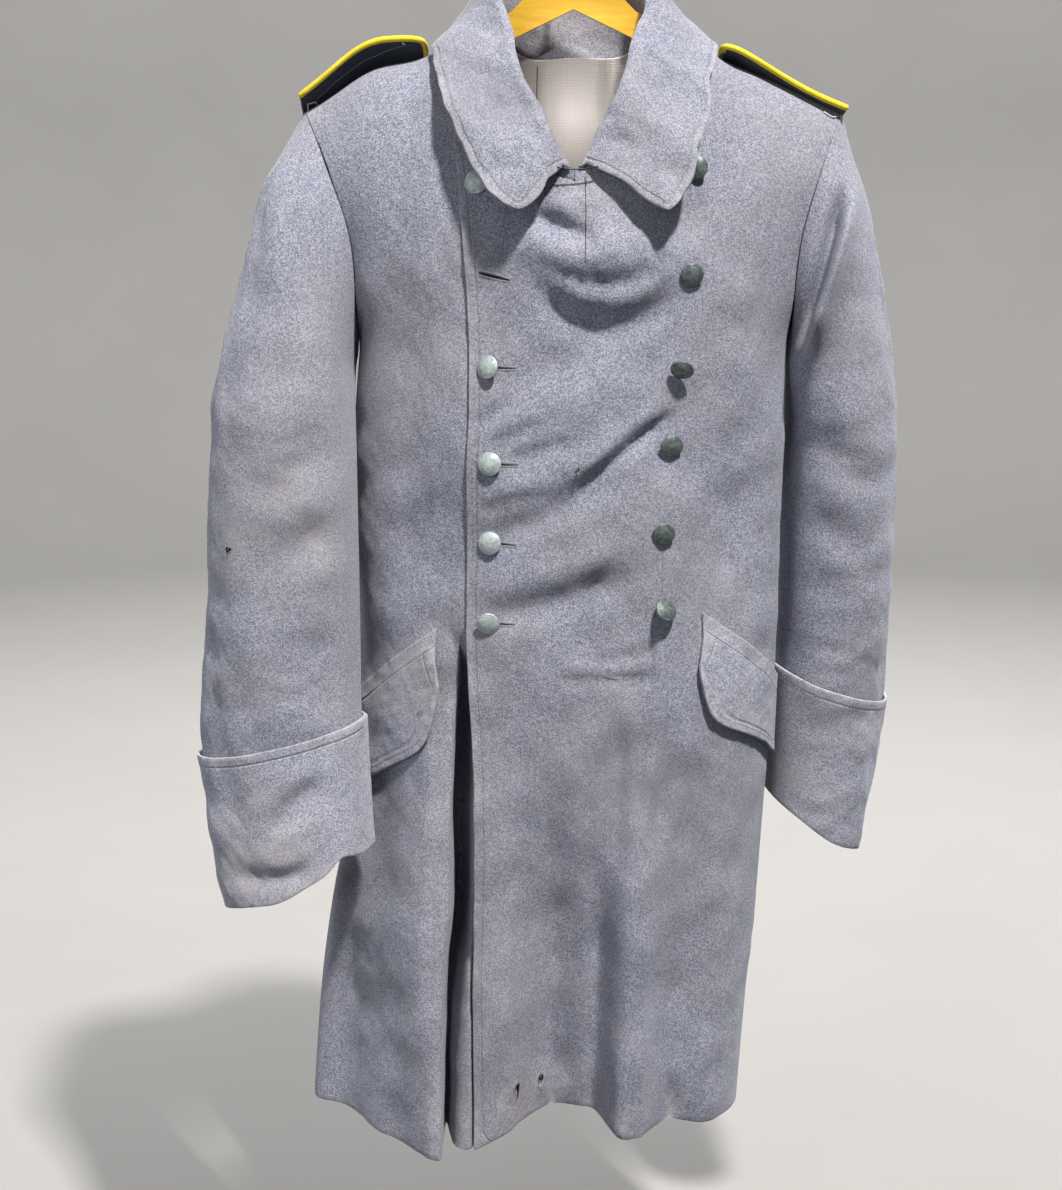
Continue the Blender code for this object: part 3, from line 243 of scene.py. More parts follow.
# The pocket flaps hang deeper than the solids: the top line's front end, its fall to the side, the share
# by which the flap is deeper at its front and at its side, where the side is, and the front edge's swell
Flap = namedtuple("Flap", "front_x front_z fall front_share side_share side_x swell")
FLAPS = {
    "right": Flap(-0.134, -0.772, 0.814, 0.6, 0.42, 0.195, 0.004),
    "left": Flap(0.127, -0.756, 0.82, 0.4, 0.0, 0.2, 0.006),
}
FLAP_SWELL = Fade(0.0, 0.03)
FLAP_END = Fade(0.228, 0.03)   # behind the sleeve
FLAP_TURN = 0.58        # how far the coat's front turns back for each step to the side there

# Soiled and rubbed places of the wool, and some places that are only darker and bluer
Patch = namedtuple("Patch", "place radius colour strength")
PATCHES = (
    Patch((-0.343, -0.101, -0.687), 0.027, (0.12, 0.125, 0.1), 0.85),
    Patch((-0.325, -0.113, -0.66), 0.02, (0.47, 0.445, 0.41), 0.75),
    Patch((-0.339, -0.105, -0.706), 0.022, (0.45, 0.43, 0.4), 0.65),
    Patch((-0.275, -0.115, -0.66), 0.11, (0.36, 0.33, 0.31), 0.45),
    Patch((-0.285, -0.115, -0.98), 0.095, (0.37, 0.33, 0.31), 0.55),
    Patch((-0.085, -0.115, -0.76), 0.075, (0.33, 0.295, 0.275), 0.45),
    Patch((-0.045, -0.115, -1.245), 0.045, (0.27, 0.23, 0.2), 0.5),
    Patch((0.0, -0.115, -0.86), 0.11, (0.29, 0.272, 0.262), 0.3),
    # Darker, bluer patches on the skirt's middle and on the collar
    Patch((0.06, -0.105, -0.925), 0.15, (0.17, 0.175, 0.212), 0.55),
    Patch((-0.079, -0.085, -0.255), 0.06, (0.18, 0.185, 0.225), 0.6),
    Patch((-0.023, -0.1, -0.297), 0.022, (0.15, 0.155, 0.19), 0.55),
    Patch((0.078, -0.07, -0.228), 0.045, (0.19, 0.195, 0.235), 0.45),
)

# Stitching
STITCH_PITCH = 0.0042
STITCH_LENGTH = 0.0031
THREAD_RADIUS = 0.0003
# One stitch: shares of its length, and the thread's size and lift there
STITCH_PROFILE = ((0.0, 0.5, -0.6), (0.22, 1.0, 0.45), (0.78, 1.0, 0.45), (1.0, 0.5, -0.6))
# GROOVE_HALF is also the half width of the painted shade along the stitching
GROOVE_HALF = 0.0016    # half width of the groove that stitching pulls into the cloth
EDGE_REACH = 0.03      # how far from an edge its distance is kept for the material
RIM_STEP = 0.0015
HEM_EDGE_Z = -1.245     # below this a rim of the body is the hem
LAP_EDGE_X = -0.085     # the lap's edge is to the right of this, between its corners
LAP_TOP_Z = -0.292
LAP_LOW_Z = -1.272
NECK_Y = -0.015         # the collar's leaves start where an oval round the neck ends
NECK_HALF_WIDTH = 0.075
NECK_HALF_DEPTH = 0.085
NECK_OVAL = 1.16
FLAP_TOP_WAY = -0.6
CUFF_TOP_WAY = -0.3

# Buttons
BUTTON_RADIUS = 0.0113
BUTTON_HEIGHT = 0.0052
BUTTON_RINGS = 26
BUTTON_SIDES = 84
BUTTON_FACE = 0.9       # share of the radius inside the rim
RIM_HEIGHT = 0.00035
RIM_WIDTH = 0.075
DOME_POWER = 2.3
DOME_EDGE = 0.3         # share of the height that is left at the dome's edge
BUTTON_SKIRT = ((1.0, 0.2), (0.97, 0.06), (0.88, 0.0))     # below the rim, as shares of radius and height
PEBBLE = 0.00125        # size of the pebbles on the buttons
PEBBLE_HEIGHT = 0.00013
PEBBLE_EDGE = 0.62      # a pebble's radius, as a share of its size

# Buttonholes: where each starts and ends beside its button, and how open it is
HOLE_START = -0.004
HOLE_END = 0.0262
HOLE_SLOPE = -0.05
HOLE_OPEN = 0.0007
EMPTY_HOLE = ((-0.0895, -0.4105), (-0.0605, -0.4172))
EMPTY_HOLE_OPEN = 0.0013
SLIT_LIFT = 0.00025
HOLE_STITCH_START = 0.0001
HOLE_STITCH = 0.0021
HOLE_THREAD_RADIUS = THREAD_RADIUS * 1.3
HOLE_STITCH_STEP = 0.00105

# Frayed places: rips near the hem, and small holes of which only the dark inside shows, as painted shade
Fray = namedtuple("Fray", "x z half_width half_height strands")
RIP_FRAYS = (Fray(-0.057, -1.236, 0.0034, 0.0135, 16), Fray(-0.031, -1.231, 0.0032, 0.007, 9))
HOLES = (Fray(0.003, -0.594, 0.0013, 0.003, 6),)
SLEEVE_HOLE = Fray(-0.3316, -0.6728, 0.0027, 0.0029, 4)
FRAY_SEED = 41
FRAY_WIDER = 1.15       # fibres start this much outside a hole, across and up
FRAY_TALLER = 1.1
FRAY_ROOT_LIFT = 0.0001
FRAY_SHARES = (0.0, 0.35, 0.7, 1.0)
FRAY_RADIUS = 0.00022
FRAY_LENGTHS = (0.002, 0.0045)
FRAY_LIFTS = (0.0002, 0.0007)
FRAY_SAG = Vector((0, 0, -0.002))
HOLE_SIDES = 14
HOLE_RIM_LIFT = 0.0004
HOLE_MIDDLE_LIFT = 0.0006
HOLE_LEAN = math.radians(38)

# Thin lines on the cloth, as seen from the front: the piece, places, radius, lift and look
Line = namedtuple("Line", "name node places radius lift look")
LINE_STEP = 0.003
STRAND_SIDES = 5
OFF_STRAND = Vector((0.31, -0.84, 0.44))   # a way that no strand runs
LINES = (
    Line("loose_thread", "left_front", ((0.085, -0.668), (0.0862, -0.682), (0.0852, -0.698),
                                        (0.086, -0.716)), 0.00022, 0.0004, "fray"),
    Line("lap_seam", "left_front", ((0.0092, -0.322), (0.0097, -0.34), (0.0099, -0.357), (0.0096, -0.38),
                                    (0.0089, -0.4)), 0.00035, 0.0, "dark"),
    # A thin brown strand of painted shade in the lining's pleat
    Line("lining_pleat_shade_line", "back_lining", ((-0.0345, -0.216), (-0.035, -0.24), (-0.035, -0.262)),
         0.0007, 0.0003, "fray"),
    Line("strap_edge", "strap_right", ((-0.16, -0.198), (-0.178, -0.203), (-0.203, -0.213),
                                       (-0.226, -0.229), (-0.249, -0.249)), 0.00045, 0.0002, "worn_thread"),
    Line("strap_loop_right", "strap_right", ((-0.259, -0.26), (-0.258, -0.2525), (-0.2505, -0.2505),
                                             (-0.249, -0.2555)), 0.0007, 0.0016, "pale_thread"),
    Line("strap_loop_left", "left_front", ((0.241, -0.262), (0.2455, -0.265), (0.25, -0.2672),
                                           (0.253, -0.2668)), 0.0007, 0.0014, "pale_thread"),
    # A small pale knot whose paleness is a painted highlight, for the glint on the strap
    Line("strap_knot_painted_glint", "strap_right", ((-0.164, -0.1962), (-0.1625, -0.1975)),
         0.0011, 0.0006, "pale_thread"),
)

# Stitches on the collar's hook: places across, half length, thickness and how far they lie before the wire
HOOK_ENDS = (-0.0125, -0.0095, 0.0125, 0.0155)
HOOK_STITCH_HALF = 0.0024
HOOK_STITCH_RADIUS = 0.0006
HOOK_STITCH_LIFT = 0.0006

# Piping
PIPING_LEVELS = 2       # steps of smoothing
PIPING_SWELL = 0.0013   # how much fuller than its solid the felt cord is

# Stage and lights
FLOOR_Z = -1.52
FLOOR_RADIUS = 4.2
COVE = 1.4
COVE_STEPS = 12
STAGE_SIDES = 96
BACKDROP_TOP_Z = 3.5
Light = namedtuple("Light", "name place aim size power colour")
LIGHTS = (
    Light("key", (1.59, -3.0, 5.15), (-0.02, -0.1, -0.55), 0.45, 830.0, (1.0, 0.97, 0.93)),
    Light("fill_left", (-2.0, -2.2, 0.3), (-0.05, 0.0, -0.7), 2.2, 26.0, (0.97, 0.98, 1.0)),
    Light("side_left", (-2.6, 1.5, 0.5), (0.0, 0.0, -0.6), 2.0, 40.0, (1.0, 0.99, 0.97)),
    Light("side_right", (2.6, 1.5, 0.5), (0.0, 0.0, -0.6), 2.0, 40.0, (1.0, 0.99, 0.97)),
    Light("fill_back", (0.4, 2.4, 1.2), (0.0, 0.0, -0.6), 2.4, 70.0, (1.0, 0.99, 0.97)),
    Light("backdrop", (0.0, 1.6, 2.6), (0.0, 5.2, 0.2), 2.6, 150.0, (1.0, 0.985, 0.96)),
)
NECK_LIGHT = Light("neck", (0.12, -2.05, 0.78), (0.0, 0.06, -0.258), 0.04, 400.0, (1.0, 0.98, 0.96))
NECK_CONE = math.radians(2.1)
NECK_BLEND = 0.6
WORLD_COLOUR = (0.85, 0.89, 1.0)
WORLD_STRENGTH = 0.16


def ease(t):
    """0 to 1 with no corner at either end, for numbers and arrays."""
    t = np.clip(t, 0.0, 1.0)
    return t * t * (3 - 2 * t)


def rising(value, fade):
    """0 before a fade's start and 1 past its end."""
    return ease((value - fade.start) / fade.length)


def falling(value, fade):
    """The same for a value that goes down."""
    return ease((fade.start - value) / fade.length)


def ripple(across, down, row):
    """Smooth unevenness with the row's wave lengths, the same on every run."""
    draw = np.random.default_rng(row.seed)
    total = np.zeros(len(across))
    for _ in range(RIPPLE_WAVES):
        way = draw.uniform(0, 2 * math.pi)
        size = draw.uniform(*RIPPLE_SIZES)
        phase = draw.uniform(0, 2 * math.pi)
        turn = across * math.cos(way) / row.across + down * math.sin(way) / row.down
        total += np.sin(2 * math.pi * size * turn + phase)
    return row.height * total / math.sqrt(RIPPLE_WAVES / 2)


def crease_height(creases, x, z):
    """How far the creases move the cloth out at places seen from the front."""
    total = np.zeros(len(x))
    for row in creases:
        run = np.array((row.x1 - row.x0, row.z1 - row.z0))
        length = np.hypot(*run)
        run /= length
        along = ((x - row.x0) * run[0] + (z - row.z0) * run[1]) / length
        beside = (z - row.z0) * run[0] - (x - row.x0) * run[1] - row.bow * 4 * along * (1 - along)
        across = beside / row.half_width
        profile = np.exp(-across ** 2) - row.lip * np.exp(-((across - LIP_AWAY) / LIP_WIDTH) ** 2)
        total += ease(along / CREASE_FADE) * ease((1 - along) / CREASE_FADE) * row.height * profile
    return total


def bow_rise(row, x):
    return row.rise * np.exp(-((x - row.x) / row.half_width) ** 2)


def shoulder_rise(x, z):
    return bow_rise(SHOULDER_BOW, x) * rising(z, SHOULDER_LOW)


def body_field(p):
    """Moves of the fronts, the back and all that lies on them. Seams and the neck stay where they are."""
    x, y, z = p.T
    out = np.stack((x / BODY_HALF_WIDTH ** 2, y / BODY_HALF_DEPTH ** 2, np.zeros(len(x))), axis=1)
    out /= np.linalg.norm(out, axis=1, keepdims=True)
    calm = rising(np.abs(out[:, 1]), SIDE_SEAM)
    calm *= 1 - rising(z, ARMHOLE_LOW) * rising(np.abs(x), ARMHOLE_SIDE)
    calm *= 1 - rising(z, NECK_LOW) * falling(np.abs(x), NECK_SIDE)
    height = sum(ripple(x, z, row) for row in BODY_RIPPLES)
    front = y < 0
    height[front] += crease_height(BODY_CREASES, x[front], z[front])
    height[~front] += crease_height(BACK_CREASES, x[~front], z[~front])
    moves = out * (calm * height)[:, None]
    moves[:, 2] += shoulder_rise(x, z)
    return moves


def flap_field(p, side):
    """Moves of a pocket flap: deeper and rounder than the solid, and then with the coat under it."""
    x, _, z = p.T
    flap = FLAPS[side]
    aside = np.abs(x) - abs(flap.front_x)
    drop = np.maximum(flap.front_z - flap.fall * np.maximum(aside, 0.0) - z, 0.0)
    share = np.clip(aside / (flap.side_x - abs(flap.front_x)), 0.0, 1.0)
    deeper = flap.front_share + (flap.side_share - flap.front_share) * share
    swell = flap.swell * (1 - share) * rising(drop, FLAP_SWELL)
    moves = np.zeros_like(p)
    moves[:, 0] = -np.sign(x) * swell
    moves[:, 1] = -FLAP_TURN * swell
    moves[:, 2] = -deeper * drop * falling(np.abs(x), FLAP_END)
    return moves + body_field(p + moves)


def strap_field(p, side):
    """Moves of a strap and its piping: they lie on the shoulder, and the lifted front edge bows."""
    x, y, z = p.T
    moves = np.zeros_like(p)
    moves[:, 2] = shoulder_rise(x, z) + bow_rise(STRAP_BOWS[side], x) * falling(y, STRAP_FRONT)
    return moves


def gap_field(p):
    """Moves of the right front: the body's, and the deep gap that the lap leaves beside itself."""
    x, y, z = p.T
    rows = np.array(GAP)
    solid_wall, wall, middle, deeper, strip = (np.interp(z, rows[:, 0], rows[:, k]) for k in range(1, 6))
    begun = falling(z, GAP_TOP) * (y < 0)
    near = np.exp(-((x - solid_wall) / GAP_REACH) ** 4) * begun
    moves = body_field(p)
    moves[:, 0] += near * ((wall - solid_wall) - GAP_STEEP * (x - solid_wall))
    moves[:, 1] += begun * deeper * np.exp(-((x - middle) / GAP_HALF) ** 4)
    moves[:, 1] -= begun * strip * np.exp(-((x - STRIP_X) / STRIP_HALF) ** 4)
    return moves


def sleeve_field(p, side):
    """Moves of a sleeve and its cuff. The armhole and the side against the body stay where they are."""
    x, y, z = p.T
    axis = SLEEVE_AXES[side]
    share = (AXIS_TOP_Z - z) / (AXIS_TOP_Z - AXIS_LOW_Z)
    out = np.stack((x - axis.top_x - (axis.low_x - axis.top_x) * share,
                    y - axis.top_y - (axis.low_y - axis.top_y) * share, np.zeros(len(x))), axis=1)
    out /= np.linalg.norm(out, axis=1, keepdims=True) + 1e-9
    calm = rising(np.abs(x), SLEEVE_SIDE) * falling(z, SLEEVE_HEAD)
    turn = np.arctan2(out[:, 1], out[:, 0])
    around = SLEEVE_ROUND * np.cos(turn) + SLEEVE_UNEVEN * np.sin(2 * turn)
    height = calm * sum(ripple(around, z, row) for row in SLEEVE_RIPPLES)
    reach = rising(np.abs(x), SLEEVE_CREASE_SIDE) * falling(z, SLEEVE_HEAD)
    reach *= rising(-out[:, 1], SLEEVE_FRONT)
    height += reach * crease_height(SLEEVE_CREASES[side], x, z)
    moves = out * height[:, None]
    for wave in MOUTH_WAVES[side]:
        hang = wave.drop * np.exp(-((x - wave.x) / wave.half_width) ** 2)
        moves[:, 2] -= hang * falling(z, CUFF_LOW) * rising(-out[:, 1], CUFF_FRONT)
    return moves


def lining_field(p):
    """Moves of the lining: the body's, pleats that stand out into the coat, and a higher top edge."""
    moves = body_field(p)
    moves[:, 1] -= crease_height(LINING_CREASES, p[:, 0], p[:, 2])
    top = rising(p[:, 2], LINING_TOP)
    rise = LINING_RISE + bow_rise(LINING_BOW, p[:, 0])
    moves[:, 1] -= (LINING_FORWARD + LINING_LEAN * rise) * top
    moves[:, 2] += rise * top
    return moves


def collar_field(p):
    """Slow unevenness of the collar, each way by itself."""
    x, y, z = p.T
    moves = [sum(ripple(x + COLLAR_LEAN * y, z + shift, row) for row in COLLAR_RIPPLES)
             for shift in COLLAR_SHIFTS]
    return np.stack(moves, axis=1)


FIELDS = {"body": body_field, "gap": gap_field, "collar": collar_field, "lining": lining_field}
for hand in ("right", "left"):
    FIELDS[hand] = partial(sleeve_field, side=hand)
    FIELDS[f"flap_{hand}"] = partial(flap_field, side=hand)
    FIELDS[f"strap_{hand}"] = partial(strap_field, side=hand)


def points_of(mesh):
    flat = np.empty(len(mesh.vertices) * 3)
    mesh.vertices.foreach_get("co", flat)
    return flat.reshape(-1, 3)


def set_points(mesh, points):
    mesh.vertices.foreach_set("co", np.ascontiguousarray(points).ravel())
    mesh.update()


Run = namedtuple("Run", "points inward closed")


def rim_runs(cage):
    """Runs of points along the rims of a wall, each with the way from the rim into the cloth."""
    rim = {e for e in cage.edges if e.calc_face_angle(0.0) > RIM_ANGLE and e.calc_length() > ACROSS_WALL}
    meeting = {}
    for edge in sorted(rim, key=lambda e: e.index):
        for vertex in edge.verts:
            meeting.setdefault(vertex, []).append(edge)
    runs, used = [], set()
    for start in sorted(meeting, key=lambda v: (len(meeting[v]) == 2, v.index)):
        for edge in meeting[start]:
            run = [start]
            while edge and edge not in used:
                used.add(edge)
                run.append(edge.other_vert(run[-1]))
                edge = next((e for e in meeting[run[-1]] if e not in used), None)
            if len(run) > 2:
                runs.append(run)
    made = []
    for run in runs:
        closed = run[0] == run[-1]
        run = run[:-1] if closed else run
        ways = []
        for vertex in run:
            way = Vector()
            for edge in vertex.link_edges:
                if edge not in rim and edge.calc_length() > ACROSS_WALL:
                    way += (edge.other_vert(vertex).co - vertex.co).normalized()
            ways.append(way.normalized())
        for i, way in enumerate(ways):
            if way.length == 0:     # a corner: between its neighbours' ways, and longer by the diagonal
                ways[i] = (ways[i - 1] + ways[(i + 1) % len(ways)]).normalized() * math.sqrt(2)
        made.append(Run(np.array([v.co for v in run]), np.array(ways), closed))
    return made


def cage_of(node):
    """A node's solid as a welded cage of quads, with its rims creased, and the runs of its rims."""
    cage = bmesh.new()
    cage.from_mesh(nodes[node].data)
    bmesh.ops.remove_doubles(cage, verts=cage.verts, dist=WELD)
    bmesh.ops.join_triangles(cage, faces=cage.faces, angle_face_threshold=QUAD_ANGLE,
                             angle_shape_threshold=QUAD_SKEW)
    crease = cage.edges.layers.float.new("crease_edge")
    for edge in cage.edges:
        if edge.calc_face_angle(0.0) > RIM_ANGLE:
            edge[crease] = RIM_CREASE
    cage.edges.index_update()
    cage.verts.index_update()
    runs = rim_runs(cage)
    mesh = bpy.data.meshes.new(node)
    cage.to_mesh(mesh)
    cage.free()
    for name in ("custom_normal", "sharp_edge", "UVMap"):
        if name in mesh.attributes:
            mesh.attributes.remove(mesh.attributes[name])
    mesh.materials.clear()
    return mesh, runs


def round_corners(mesh):
    """Takes the crease off the corners of a rim, and gives the points there."""
    crease = mesh.attributes["crease_edge"].data
    meeting = {}
    for edge in mesh.edges:
        a, b = edge.vertices
        length = (mesh.vertices[a].co - mesh.vertices[b].co).length
        if crease[edge.index].value > 0 and length > ACROSS_WALL:
            meeting.setdefault(a, []).append((edge.index, b))
            meeting.setdefault(b, []).append((edge.index, a))
    corners = []
    for point, ends in meeting.items():
        if len(ends) == 2:
            first, second = (mesh.vertices[end].co - mesh.vertices[point].co for _, end in ends)
            if math.pi - first.angle(second) > CORNER_TURN:
                corners.append(point)
                for edge, _ in ends:
                    crease[edge].value = CORNER_CREASE
    return corners


def placed(name, data):
    """A new object in the scene."""
    made = bpy.data.objects.new(name, data)
    bpy.context.scene.collection.objects.link(made)
    return made


def smooth_shell(node, levels):
    """Smooth mesh through the points of a node's solid, and the runs of its rims."""
    mesh, runs = cage_of(node)
    shape = placed(node, mesh)
    smoother = shape.modifiers.new("smooth", "SUBSURF")
    smoother.levels = smoother.render_levels = levels
    target = points_of(mesh)
    fitted = np.ones((len(target), 1))
    if node in ROUNDED:
        fitted[round_corners(mesh)] = 0.0
    for _ in range(FIT_ROUNDS):
        made = shape.evaluated_get(bpy.context.evaluated_depsgraph_get())
        set_points(mesh, points_of(mesh) + (target - points_of(made.data)[:len(target)]) * fitted)
    made = shape.evaluated_get(bpy.context.evaluated_depsgraph_get())
    shell = bpy.data.meshes.new_from_object(made)
    bpy.data.objects.remove(shape)
    return shell, runs


def piece(name, mesh, material, slot, *replaced):
    """A finished piece that rides on the part."""
    mesh.materials.clear()
    mesh.materials.append(material)
    mesh.shade_smooth()
    made = placed(name, mesh)
    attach(made, "root")
    if replaced:
        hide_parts(*replaced)
    return made


class Graph:
    """Shorthand for the nodes of one material."""

    def __init__(self, name):
        self.material = bpy.data.materials.new(name)
        self.material.use_nodes = True
        self.tree = self.material.node_tree
        self.shader = self.tree.nodes["Principled BSDF"]
        self.place = self.add("ShaderNodeTexCoord").outputs["Object"]

    def add(self, kind, sockets=None, **settings):
        made = self.tree.nodes.new(kind)
        for name, value in settings.items():
            setattr(made, name, value)
        for name, value in (sockets or {}).items():
            self.put(made.inputs[name], value)
        return made

    def put(self, socket, value):
        if isinstance(value, bpy.types.NodeSocket):
            self.tree.links.new(value, socket)
        else:
            socket.default_value = value

    def finish(self, **sockets):
        for name, value in sockets.items():
            self.put(self.shader.inputs[name.replace("_", " ").title().replace("Ior", "IOR")], value)
        return self.material

    def noise(self, scale, detail=2.0, roughness=0.55, vector=None):
        made = self.add("ShaderNodeTexNoise", {"Vector": vector or self.place, "Scale": scale,
                                               "Detail": detail, "Roughness": roughness})
        return made.outputs["Fac"]

    def ramp(self, factor, stops, interpolation="LINEAR"):
        made = self.add("ShaderNodeValToRGB", {"Fac": factor})
        made.color_ramp.interpolation = interpolation
        elements = made.color_ramp.elements
        while len(elements) < len(stops):
            elements.new(0.5)
        for element, (at, colour) in zip(elements, stops):
            element.position = at
            element.color = (*colour, 1.0) if len(colour) == 3 else colour
        return made.outputs["Color"]

    def greys(self, factor, *stops):
        """A ramp of plain values: pairs of a place and a value."""
        return self.ramp(factor, [(at, (value, value, value)) for at, value in stops])

    def mix(self, factor, a, b, blend_type="MIX"):
        made = self.add("ShaderNodeMix", data_type="RGBA", blend_type=blend_type)
        self.put(made.inputs["Factor"], factor)
        self.put(made.inputs[6], a if isinstance(a, bpy.types.NodeSocket) else (*a, 1.0))
        self.put(made.inputs[7], b if isinstance(b, bpy.types.NodeSocket) else (*b, 1.0))
        return made.outputs[2]

    def math(self, operation, a, b=0.0):
        made = self.add("ShaderNodeMath", operation=operation)
        self.put(made.inputs[0], a)
        self.put(made.inputs[1], b)
        return made.outputs[0]

    def bump(self, height, distance, strength=1.0):
        return self.add("ShaderNodeBump", {"Height": height, "Distance": distance,
                                           "Strength": strength}).outputs["Normal"]


def wool_material(name, warmth, light):
    """Fulled melange wool: blue, grey and brownish fibres, nap, faded patches, worn edges and painted shade
    in stitch grooves.
    """
    g = Graph(name)
    cells = g.add("ShaderNodeTexVoronoi", {"Vector": g.place, "Scale": 980.0})
    pick = g.add("ShaderNodeSeparateColor", {"Color": cells.outputs["Color"]}).outputs[0]
    flecks = g.ramp(pick, ((0.0, (0.103, 0.116, 0.162)), (0.26, (0.228, 0.242, 0.305)),
                           (0.62, (0.44, 0.452, 0.51)), (0.87, (0.415, 0.375, 0.365))), "CONSTANT")
    fibre = g.noise(1500.0, 3.0, 0.7)
    tone = g.mix(0.64, (0.262, 0.272, 0.332), flecks)
    tone = g.mix(0.62, tone, g.greys(fibre, (0.3, 0.42), (0.7, 1.58)), "MULTIPLY")
    cloud = g.noise(34.0, 4.0, 0.6)
    tone = g.mix(0.6, tone, g.greys(cloud, (0.25, 0.84), (0.75, 1.12)), "MULTIPLY")
    faded = g.greys(g.noise(6.5, 3.0, 0.55), (0.44, 0.0), (0.68, warmth))
    tone = g.mix(faded, tone, (0.315, 0.295, 0.285))
    for patch in PATCHES:
        away = g.add("ShaderNodeVectorMath", {0: g.place, 1: patch.place}, operation="DISTANCE")
        share = g.math("DIVIDE", away.outputs["Value"], patch.radius)
        spread = g.greys(share, (0.0, patch.strength), (1.0, 0.0))
        uneven = g.greys(g.noise(65.0, 4.0, 0.65), (0.34, 0.1), (0.62, 1.0))
        tone = g.mix(g.math("MULTIPLY", spread, uneven), tone, patch.colour)
    edge = g.add("ShaderNodeAttribute", attribute_name="edge").outputs["Fac"]
    worn = g.greys(g.math("DIVIDE", edge, EDGE_REACH), (0.0, 0.9), (0.07, 0.5), (0.3, 0.0))
    patchy = g.greys(g.noise(130.0, 4.0), (0.38, 0.0), (0.66, 0.8))
    tone = g.mix(g.math("MULTIPLY", worn, patchy), tone, (0.43, 0.41, 0.4))
    stitch = g.add("ShaderNodeAttribute", attribute_name="stitch").outputs["Fac"]
    beside = g.math("DIVIDE", g.math("ABSOLUTE", stitch), GROOVE_HALF)
    groove_with_painted_shade = g.greys(beside, (0.0, 1.0), (0.45, 0.7), (1.0, 0.0))
    # Painted shade: the wool's colour darkens to blue-black along the stitching's groove
    tone = g.mix(g.math("MULTIPLY", groove_with_painted_shade, 0.18), tone, (0.12, 0.125, 0.15))
    # Times light: in the brighter copy this is partly pale wear and partly a painted highlight on cloth
    # tilted up to the light
    tone = g.mix(1.0, tone, (0.985 * light, 0.98 * light, light), "MULTIPLY")
    nap = g.math("ADD", g.math("MULTIPLY", fibre, 0.8), g.math("MULTIPLY", cells.outputs["Distance"], 0.5))
    nap = g.math("ADD", nap, g.math("MULTIPLY", g.noise(240.0, 3.0), 0.9))
    nap = g.math("SUBTRACT", nap, g.math("MULTIPLY", groove_with_painted_shade, 1.6))
    return g.finish(base_color=tone, roughness=0.93, normal=g.bump(nap, 0.0007, 0.65), sheen_weight=0.22,
                    sheen_roughness=0.55, sheen_tint=(0.72, 0.75, 0.84, 1.0), specular_ior_level=0.15)


def thread_material(name, dark, light):
    """Twisted sewing thread."""
    g = Graph(name)
    tone = g.mix(g.noise(1500.0, 2.0), dark, light)
    twist = g.bump(g.noise(3000.0), 0.0001, 0.5)
    return g.finish(base_color=tone, roughness=0.7, normal=twist, sheen_weight=0.2)


def plain_material(name, dark, light, scale, detail=2.0, **sockets):
    """One dull colour that wanders between two tones."""
    g = Graph(name)
    return g.finish(base_color=g.mix(g.noise(scale, detail), dark, light), **sockets)


def lining_material():
    """Plain woven beige cotton, a little soiled."""
    g = Graph("lining")
    warp = g.add("ShaderNodeTexWave", {"Vector": g.place, "Scale": 260.0, "Distortion": 1.2, "Detail": 2.0},
                 bands_direction="X").outputs["Fac"]
    weft = g.add("ShaderNodeTexWave", {"Vector": g.place, "Scale": 130.0, "Distortion": 2.2, "Detail": 2.0},
                 bands_direction="Z").outputs["Fac"]
    weave = g.math("ADD", warp, weft)
    tone = g.mix(g.noise(22.0, 4.0), (0.74, 0.67, 0.63), (0.86, 0.79, 0.76))
    tone = g.mix(0.6, tone, g.greys(g.math("MULTIPLY", weave, 0.5), (0.1, 0.78), (0.9, 1.12)), "MULTIPLY")
    return g.finish(base_color=tone, roughness=0.85, normal=g.bump(weave, 0.0003, 0.6), sheen_weight=0.1,
                    specular_ior_level=0.25)


def felt_material(name, dark, light, sheen):
    """Felted wool in one colour."""
    g = Graph(name)
    fibre = g.noise(900.0, 4.0, 0.7)
    tone = g.mix(g.greys(fibre, (0.3, 0.0), (0.7, 1.0)), dark, light)
    tone = g.mix(0.5, tone, g.greys(g.noise(70.0, 3.0), (0.3, 0.7), (0.7, 1.25)), "MULTIPLY")
    return g.finish(base_color=tone, roughness=0.92, normal=g.bump(fibre, 0.0006, 0.6), sheen_weight=sheen,
                    sheen_roughness=0.5, specular_ior_level=0.2)


def button_material(name, dark, light):
    """Pebbled grey-green metal, brighter where it is rubbed."""
    g = Graph(name)
    worn = g.greys(g.noise(260.0, 3.0, 0.6), (0.36, 0.0), (0.7, 1.0))
    tone = g.mix(worn, dark, light)
    rough = g.greys(g.noise(700.0, 2.0), (0.3, 0.42), (0.7, 0.6))
    grain = g.bump(g.noise(1600.0), 0.0001, 0.4)
    return g.finish(base_color=tone, metallic=0.35, roughness=rough, normal=grain)


def wire_material(name, dark, light, metallic):
    """Plain wire, dulled unevenly."""
    g = Graph(name)
    tone = g.mix(g.noise(300.0, 3.0), dark, light)
    rough = g.greys(g.noise(900.0, 2.0), (0.3, 0.3), (0.7, 0.5))
    return g.finish(base_color=tone, metallic=metallic, roughness=rough, specular_ior_level=0.1)


